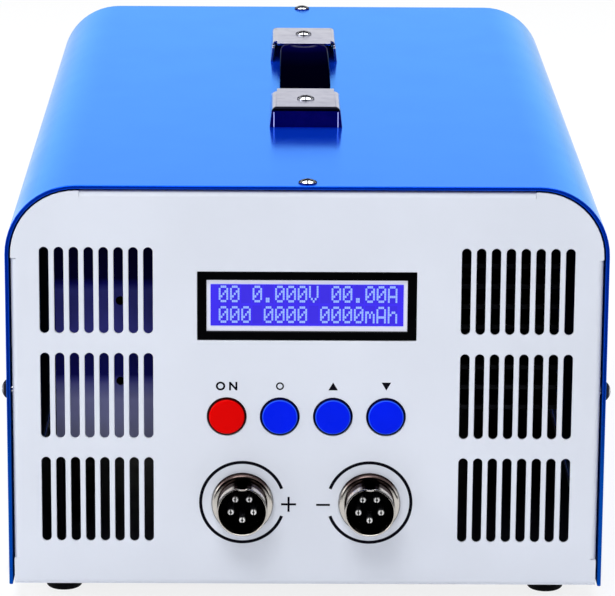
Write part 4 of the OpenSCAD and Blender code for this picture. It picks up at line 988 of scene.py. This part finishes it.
class TESTER_OT_handle(TesterOperator):
    """Makes the plated end caps and the two halves of the bending strap"""
    bl_idname = "tester.handle"
    bl_label = "Handle"

    def build(self, scene):
        soften("handle_front_cap", 0.12, "front_cap_plated")
        soften("handle_rear_cap", 0.12, "rear_cap_plated")
        self.seams()
        repaint("handle_nuts")
        low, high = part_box("strap_grip")
        front_y, rear_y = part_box("strap_front_flex")[0].y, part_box("strap_rear_flex")[1].y
        self.half("strap_front_half", -1, ("strap_front_flex", "strap_grip"), low.y, front_y, high.z)
        self.half("strap_rear_half", 1, ("strap_rear_flex",), high.y, rear_y, high.z)

    @staticmethod
    def seams():
        """Thin bright plates in the seams on either side of the end flaps: painted highlights of their cut edges.
        """
        seam_x, half_w, point = 10.75 * MM, 0.145 * MM, 0.08 * MM
        work = bmesh.new()
        for cap, way in (("handle_front_cap", 1), ("handle_rear_cap", -1)):
            low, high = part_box(cap)
            end = low.y if way > 0 else high.y
            foot, top = low.z + 0.2 * MM, low.z + 5.6 * MM
            for x in (-seam_x, seam_x):
                outline = [(x - half_w, foot), (x, foot - point), (x + half_w, foot),
                           (x + half_w, top), (x, top + point), (x - half_w, top)]
                outline_plate(work, outline, *sorted((end + way * 0.02 * MM, end + way * 0.5 * MM)))
        # painted highlights of the seams' cut edges
        new_piece("cap_seams", mesh_of("cap_seams", work, merge=0, outward=True), "seam_bright", "case")

    def half(self, name, way, stands_for, grip_y, outer_y, top):
        """Half of the strap, from its middle to one end: an arched bar with round shoulders and its tongue."""
        tongue_l, shoulder_l, shoulder_w, nose = 24 * MM, 10 * MM, 2.9 * MM, 0.9 * MM
        width, thick, rise = 17.5 * MM, 3.0 * MM, 1.0 * MM
        middle = centre("strap_grip").y
        end_y = outer_y - way * tongue_l
        span = abs(end_y - middle)
        arc = (span ** 2 + rise ** 2) / (2 * rise)
        inward = [nose * (1 - math.cos(math.radians(degrees))) for degrees in range(0, 90, 15)]
        inward += [shoulder_l * (1 - math.cos(math.radians(degrees))) for degrees in range(24, 91, 6)]
        stations = [(span - shoulder_l) * step / 30 for step in range(30)]
        stations += [span - depth for depth in sorted(inward, reverse=True)]
        work, rings = bmesh.new(), []
        for distance in stations:
            end = span - distance
            left = max(0.0, 1 - end / shoulder_l)
            half_w = width / 2 - shoulder_w * (1 - math.sqrt(1 - left ** 2))
            tip = max(0.0, 1 - end / nose)
            half_t = thick / 2 - nose * (1 - math.sqrt(1 - tip ** 2))
            lift = top - (arc - math.sqrt(arc ** 2 - distance ** 2)) - thick / 2
            hollow = (0.30 + 0.5 * left ** 2) * MM * (1 - tip)
            rings.append(self.ring(work, middle + way * distance, lift, half_w, half_t, hollow))
        for here, there in zip(rings, rings[1:]):
            band(work, here, there)
        work.faces.new(rings[0])
        work.faces.new(rings[-1])
        bmesh.ops.recalc_face_normals(work, faces=work.faces)
        self.tongue(work, end_y, way, tongue_l, top - rise - thick + 0.3 * MM)
        mesh = smooth_by_angle(mesh_of(name, work, merge=0), 50)
        piece = new_piece(name, mesh, "strap_black", None, stands_for)
        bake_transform(piece, "case", "strap", start=(0, end_y, top), end=(0, grip_y, top))

    @staticmethod
    def ring(work, y, z, half_w, half_t, hollow):
        """A cross-section of the strap: round edges, and a top that is slightly hollow along its middle."""
        edge, points = min(1.15 * MM, half_t), []
        for corner, (sx, sz) in enumerate(((1, 1), (-1, 1), (-1, -1), (1, -1))):
            for step in range(7):
                angle = math.radians(90 * corner + 90 * step / 6)
                points.append((sx * (half_w - edge) + edge * math.cos(angle),
                               sz * (half_t - edge) + edge * math.sin(angle)))
            if corner in (0, 2):
                for step in range(1, 8):
                    share = 1 - step / 4
                    dip = hollow * (1 - share ** 2) ** 2 if corner == 0 else 0
                    points.append((sx * share * (half_w - edge), sz * half_t - dip))
        return [work.verts.new((x, y, z + up)) for x, up in points]

    @staticmethod
    def tongue(work, end_y, way, length, z):
        """The slotted strip that slides in the end cap."""
        half_w, thick, slot_r, slot_half, slot_in = 6.5 * MM, 1.6 * MM, 1.8 * MM, 3.0 * MM, 17 * MM
        root_y, tip_y, mid_y = end_y - way * 2.5 * MM, end_y + way * length, end_y + way * slot_in
        outer, inner = [], []
        for step in range(48):
            angle = 2 * math.pi * step / 48
            right, back = math.cos(angle), math.sin(angle)
            reach = min(half_w / max(abs(right), 1e-6),
                        abs((tip_y if back * way > 0 else root_y) - mid_y) / max(abs(back), 1e-6))
            outer.append((right * reach, mid_y + back * reach))
            straight = math.copysign(slot_half, back) if back else 0
            inner.append((right * slot_r, mid_y + back * slot_r + straight))
        low_out, low_in, high_out, high_in = [[work.verts.new((x, y, height)) for x, y in line]
                                              for height in (z, z + thick) for line in (outer, inner)]
        faces = wrapped(work, [high_out, high_in, low_in, low_out])
        bmesh.ops.recalc_face_normals(work, faces=faces)


GLYPHS = {
    "0": (14, 17, 19, 21, 25, 17, 14), ".": (0, 0, 0, 0, 0, 12, 12), "V": (17, 17, 17, 17, 17, 10, 4),
    "A": (14, 17, 17, 17, 31, 17, 17), "m": (0, 0, 26, 21, 21, 17, 17), "h": (16, 16, 22, 25, 17, 17, 17),
}
BLANK = (0,) * 7


class TESTER_OT_display(TesterOperator):
    """Builds the display's frame, lit screen, cells and characters"""
    bl_idname = "tester.display"
    bl_label = "Display"

    def build(self, scene):
        sizes, shown = scene.tester_sizes, scene.tester_display
        soften("display_bezel", 0.18, "display_frame")
        soften("display_backlight", 0.05, "display_border")
        soften("display_screen", 0.10, "display_glass")
        repaint("display_board", "display_spacers")
        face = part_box("display_screen")[0].y
        first_cell, pitch = -26.325 * MM, 3.55 * MM
        cell_x = [first_cell + pitch * column for column in range(16)]
        row_z = [FOOT_H + z * MM for z in (96.55, 89.85)]
        cells = [(x, face - 0.02 * MM, z) for x in cell_x for z in row_z]
        tree = tile_tree()
        mesh = grown("cells", cells, tree, {"Width": 3.05 * MM, "Height": 5.9 * MM, "Depth": 0.03 * MM,
                                            "Finish": finish_of("screen_cells")})
        new_piece("screen_cells", mesh, "screen_cells", "case")
        dots = []
        for text, z in zip((shown.first_row, shown.second_row), row_z):
            for x, letter in zip(cell_x, text.ljust(16)):
                for row, bits in enumerate(GLYPHS.get(letter, BLANK)):
                    for column in range(5):
                        if bits >> (4 - column) & 1:
                            dots.append((x + (column - 2) * sizes.dot_pitch_x, face - 0.05 * MM,
                                         z + (3 - row) * sizes.dot_pitch_z))
        fill = 0.92
        mesh = grown("dots", dots, tree, {"Width": sizes.dot_pitch_x * fill, "Height": sizes.dot_pitch_z * fill,
                                          "Depth": 0.05 * MM, "Finish": finish_of("screen_dots")})
        new_piece("screen_characters", mesh, "screen_dots", "case")


class TESTER_OT_keys(TesterOperator):
    """Softens the four keys and dresses their switches"""
    bl_idname = "tester.keys"
    bl_label = "Keys"

    def build(self, scene):
        for key in ("on", "set", "up", "down"):
            soften(key + "_key", 0.10, key + "_key_cap")
            repaint(key + "_plunger")
        repaint("key_switches", "control_board", "board_studs")


class TESTER_OT_sockets(TesterOperator):
    """Turns the threaded, keyed shells of the sockets and dresses their pins and insulators"""
    bl_idname = "tester.sockets"
    bl_label = "Sockets"

    def build(self, scene):
        for name in ("positive", "negative"):
            self.shell(name, scene.tester_sizes)
            soften(name + "_insert", 0.12, name + "_insulator")
            soften(name + "_pins", 0.06, name + "_contacts")
            repaint(name + "_nut", name + "_leads")

    @staticmethod
    def shell(name, sizes):
        """The flange, the threaded barrel and the round key that is pressed in along the barrel's top."""
        node_name = name + "_shell"
        low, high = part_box(node_name)
        rim_y, rear_y = low.y, high.y
        collar_r, wall, key_r = (high.x - low.x) / 2, 0.5 * MM, 5.0 * MM
        bore_r, key_z = BARREL_R - wall, BARREL_R + key_r - 0.5 * MM
        collar_y, key_end, top_y = FACE_Y - 2.5 * MM, FACE_Y + 1.2 * MM, rim_y + 0.45 * MM
        bore = [(bore_r, rear_y), (bore_r, key_end + 0.1 * MM), (bore_r, key_end), (bore_r, rim_y + 0.10 * MM)]
        rim = [(bore_r + 0.08 * MM, rim_y), (BARREL_R - 0.26 * MM, rim_y),
               (BARREL_R - 0.09 * MM, rim_y + 0.07 * MM), (BARREL_R, rim_y + 0.26 * MM), (BARREL_R, top_y)]
        steps = int((collar_y - top_y) / (sizes.thread_pitch / 7))
        thread = [(BARREL_R, top_y + (collar_y - top_y) * step / steps) for step in range(1, steps)]
        first = len(bore + rim)
        last = first + len(thread)
        collar = [(collar_r - inward * MM, collar_y + back * MM) for inward, back in (
            (1.20, 0), (0.85, 0.06), (0.50, 0.24), (0.22, 0.55), (0.06, 0.95), (0, 1.40))]
        seat = [(collar_r, FACE_Y - 0.15 * MM), (collar_r - 0.15 * MM, FACE_Y), (BARREL_R, FACE_Y),
                (BARREL_R, rear_y)]
        outline = bore + rim + thread + [(BARREL_R, collar_y)] + collar + seat

        def key_line(angle, radius):
            """Distance from the socket's axis to the near side of the round key."""
            under = radius ** 2 - (key_z * math.cos(angle)) ** 2
            return key_z * math.sin(angle) - math.sqrt(under) if under > 0 and math.sin(angle) > 0 else 1.0

        def radius_at(index, radius, angle, y):
            """The key's dent in the barrel and its bore, and the thread."""
            if index in (2, 3, 4):
                return min(radius, key_line(angle, key_r + wall) + radius - bore_r)
            if first <= index < last:
                fade = max(0.0, min(1.0, (y - top_y) / (0.9 * MM), (collar_y - y) / (1.1 * MM)))
                phase = (y - rim_y) / sizes.thread_pitch - angle / (2 * math.pi)
                radius -= sizes.thread_depth * fade * (0.5 - 0.5 * math.cos(2 * math.pi * phase))
            if 4 < index <= last:
                return min(radius, key_line(angle, key_r) + min(0, radius - BARREL_R) * 0.3)
            return radius

        at, work, rings = centre(node_name), bmesh.new(), []
        for step in range(180):
            angle = math.radians(2 * step)
            turned = [(radius_at(index, radius, angle, y), y) for index, (radius, y) in enumerate(outline)]
            rings.append([work.verts.new((at.x + radius * math.cos(angle), y, at.z + radius * math.sin(angle)))
                          for radius, y in turned])
        wrapped(work, rings)
        mesh = smooth_by_angle(mesh_of(node_name, work, merge=0, outward=True), 38)
        new_piece(name + "_shell_turned", mesh, "socket_nickel", "case", (node_name,))


class TESTER_OT_fans(TesterOperator):
    """Softens the fan frames, rotors and finger guards"""
    bl_idname = "tester.fans"
    bl_label = "Fans"

    def build(self, scene):
        for side in ("left", "right"):
            soften(side + "_fan_frame", 0.25, side + "_fan_housing")
            soften(side + "_fan_rotor", 0.18, side + "_fan_blades")
            repaint(side + "_fan_guard")


class TESTER_OT_back(TesterOperator):
    """Dresses the mains inlet, its fuse drawer, the rocker switch and the data socket"""
    bl_idname = "tester.back"
    bl_label = "Back panel"

    def build(self, scene):
        soften("inlet_body", 0.30, "inlet_moulding")
        soften("inlet_pins", 0.12, "inlet_contacts")
        soften("fuse_drawer", 0.20, "fuse_drawer_moulding")
        soften("switch_frame", 0.25, "switch_moulding")
        soften("rocker", 0.25, "rocker_moulding")
        soften("data_socket", 0.10, "data_shell")


class TESTER_OT_inside(TesterOperator):
    """Dresses the boards, the heat sink and the supply that show through the vents"""
    bl_idname = "tester.inside"
    bl_label = "Inside"

    def build(self, scene):
        repaint("ribbon_cable", "main_board", "main_standoffs", "capacitors", "transistors", "heat_sink",
                "supply_case", "supply_terminals", "supply_bracket")


class TESTER_OT_stage(TesterOperator):
    """Sets the floor, the lights, the room and the camera of the photograph"""
    bl_idname = "tester.stage"
    bl_label = "Stage"

    def build(self, scene):
        settings = scene.tester_stage
        self.floor()
        self.room(scene, settings.room)
        self.lamp("key", (-0.30, -1.15, 1.6), (0.9, 0.7), settings.key_light, (0, -0.15, 0.08))
        self.lamp("top", (0.0, 0.15, 1.25), (1.1, 1.1), settings.top_light, (0, 0.0, 0.13))
        self.lamp("left", (-1.4, -0.5, 0.7), (0.7, 0.7), settings.left_light, (0, 0, 0.07))
        self.lamp("right", (1.4, -0.6, 0.6), (0.7, 0.7), settings.right_light, (0, 0, 0.07))
        self.card("dark_floor", (0, FACE_Y - 1.67, 0.0006), (3.0, 1.5), 0)
        self.card("dark_wall", (0, -2.6, 0.9), (3.0, 1.1), 90)
        self.card("dark_ceiling", (0, 2.1, 1.9), (1.6, 1.3), 0)
        # painted shadow under the tester
        self.shadow(self.card("dark_underneath", (0, 0.013, 0.0008), (0.0990, 0.144), 0))
        self.camera(scene, settings.lens)
        scene.view_settings.view_transform = "Standard"

    @staticmethod
    def sheet(name, shape, material):
        """A flat square of two metres, moved and stretched by a matrix, on the stage."""
        work = bmesh.new()
        bmesh.ops.create_grid(work, x_segments=1, y_segments=1, size=1.0)
        mesh = mesh_of(name, work)
        mesh.transform(shape)
        mesh.materials.append(material)
        made = linked(name, mesh)
        return made

    def floor(self):
        """A wide pale floor, which the camera and reflections see almost white."""
        material = bpy.data.materials.new("pale floor")
        material.use_nodes = True
        material.node_tree.nodes.clear()
        matte = node(material, "ShaderNodeBsdfDiffuse", {"Color": (0.86, 0.86, 0.87, 1)})
        glow = node(material, "ShaderNodeEmission", {"Strength": 1.06})
        share = node(material, "ShaderNodeMath", {0: seen_rays(material), 1: 0.78}, operation="MULTIPLY")
        mix = node(material, "ShaderNodeMixShader", {0: share, 1: matte, 2: glow})
        node(material, "ShaderNodeOutputMaterial", {"Surface": mix}, take=None)
        self.sheet("floor", Matrix.Diagonal((12, 12, 1, 1)), material)

    @staticmethod
    def room(scene, strength):
        """Even, slightly blue light from all round, which the camera and reflections see white."""
        world = bpy.data.worlds.new("room")
        world.use_nodes = True
        world.node_tree.nodes.clear()
        light = node(world, "ShaderNodeBackground", {"Color": (0.93, 0.96, 1.0, 1), "Strength": strength})
        seen = node(world, "ShaderNodeBackground", {"Color": (1, 1, 1, 1), "Strength": 1.0})
        mix = node(world, "ShaderNodeMixShader", {0: seen_rays(world), 1: light, 2: seen})
        node(world, "ShaderNodeOutputWorld", {"Surface": mix}, take=None)
        scene.world = world

    @staticmethod
    def lamp(name, at, size, watts, target):
        """A soft rectangular light that faces a point."""
        light = bpy.data.lights.new(name, "AREA")
        light.shape = "RECTANGLE"
        light.size, light.size_y = size
        light.energy = watts
        lamp = linked(name, light)
        lamp.location = at
        lamp.rotation_euler = (Vector(target) - Vector(at)).to_track_quat("-Z", "Y").to_euler()

    def card(self, name, at, half, tilt):
        """A dark card, which only reflections see: the room round the tester was dark."""
        shape = (Matrix.Translation(at) @ Matrix.Rotation(math.radians(tilt), 4, "X")
                 @ Matrix.Diagonal((*half, 1, 1)))
        card = self.sheet(name, shape, node_material(name, DARK, 0.9, specular=0.0))
        card.visible_camera = card.visible_diffuse = card.visible_shadow = card.visible_transmission = False
        return card

    @staticmethod
    def shadow(card):
        """Turns a card into a painted shadow under the tester, which only the camera sees, with soft borders."""
        card.visible_camera, card.visible_glossy = True, False
        material = card.data.materials[0]
        borders = (("X", -0.0988, -0.0962), ("X", 0.0988, 0.0962), ("Y", -0.130, -0.100), ("Y", 0.156, 0.140))
        connect(material, all_of(material, *[along(material, *border) for border in borders]), "Alpha")

    @staticmethod
    def camera(scene, lens):
        """The camera of the photograph."""
        data = bpy.data.cameras.new("camera")
        data.lens = lens
        data.sensor_width = 36
        data.sensor_fit = "HORIZONTAL"
        data.clip_end = 50
        camera = linked("camera", data)
        yaw, pitch, roll = -0.515, 90 - 14.708, 0.376
        turn = (Matrix.Rotation(math.radians(yaw), 4, "Z") @ Matrix.Rotation(math.radians(pitch), 4, "X")
                @ Matrix.Rotation(math.radians(roll), 4, "Z"))
        camera.matrix_world = Matrix.Translation((-0.009678, FACE_Y - 1.08947, FOOT_H + 0.38148)) @ turn
        scene.camera = camera


def seen_rays(owner):
    """1 for rays that come from the camera, a reflection or through glass, and 0 for the others."""
    path = node(owner, "ShaderNodeLightPath", take=None)
    return any_of(owner, *[path.outputs[f"Is {kind} Ray"] for kind in ("Camera", "Glossy", "Transmission")])


class TESTER_PT_panel(Panel):
    """Sidebar panel with every step"""
    bl_label = "Battery capacity tester"
    bl_space_type = "VIEW_3D"
    bl_region_type = "UI"
    bl_category = "Tester"

    def draw(self, context):
        scene = context.scene
        for name, group in GROUPS:
            box = self.layout.box()
            for setting in group.__annotations__:
                box.prop(getattr(scene, name), setting)
        for step in STEPS:
            self.layout.operator(step.bl_idname)


STEPS = (TESTER_OT_stage, TESTER_OT_case, TESTER_OT_marks, TESTER_OT_screws, TESTER_OT_handle,
         TESTER_OT_display, TESTER_OT_keys, TESTER_OT_sockets, TESTER_OT_fans, TESTER_OT_back, TESTER_OT_inside)
GROUPS = (("tester_colours", TesterColours), ("tester_sizes", TesterSizes),
          ("tester_display", TesterDisplay), ("tester_stage", TesterStage))


def register():
    for name, group in GROUPS:
        bpy.utils.register_class(group)
        setattr(bpy.types.Scene, name, PointerProperty(type=group))
    for step in STEPS:
        bpy.utils.register_class(step)
    bpy.utils.register_class(TESTER_PT_panel)


def unregister():
    bpy.utils.unregister_class(TESTER_PT_panel)
    for step in reversed(STEPS):
        bpy.utils.unregister_class(step)
    for name, group in reversed(GROUPS):
        delattr(bpy.types.Scene, name)
        bpy.utils.unregister_class(group)


def main():
    register()
    for step in STEPS:
        getattr(bpy.ops.tester, step.bl_idname.split(".")[1])()


if __name__ == "__main__":
    main()
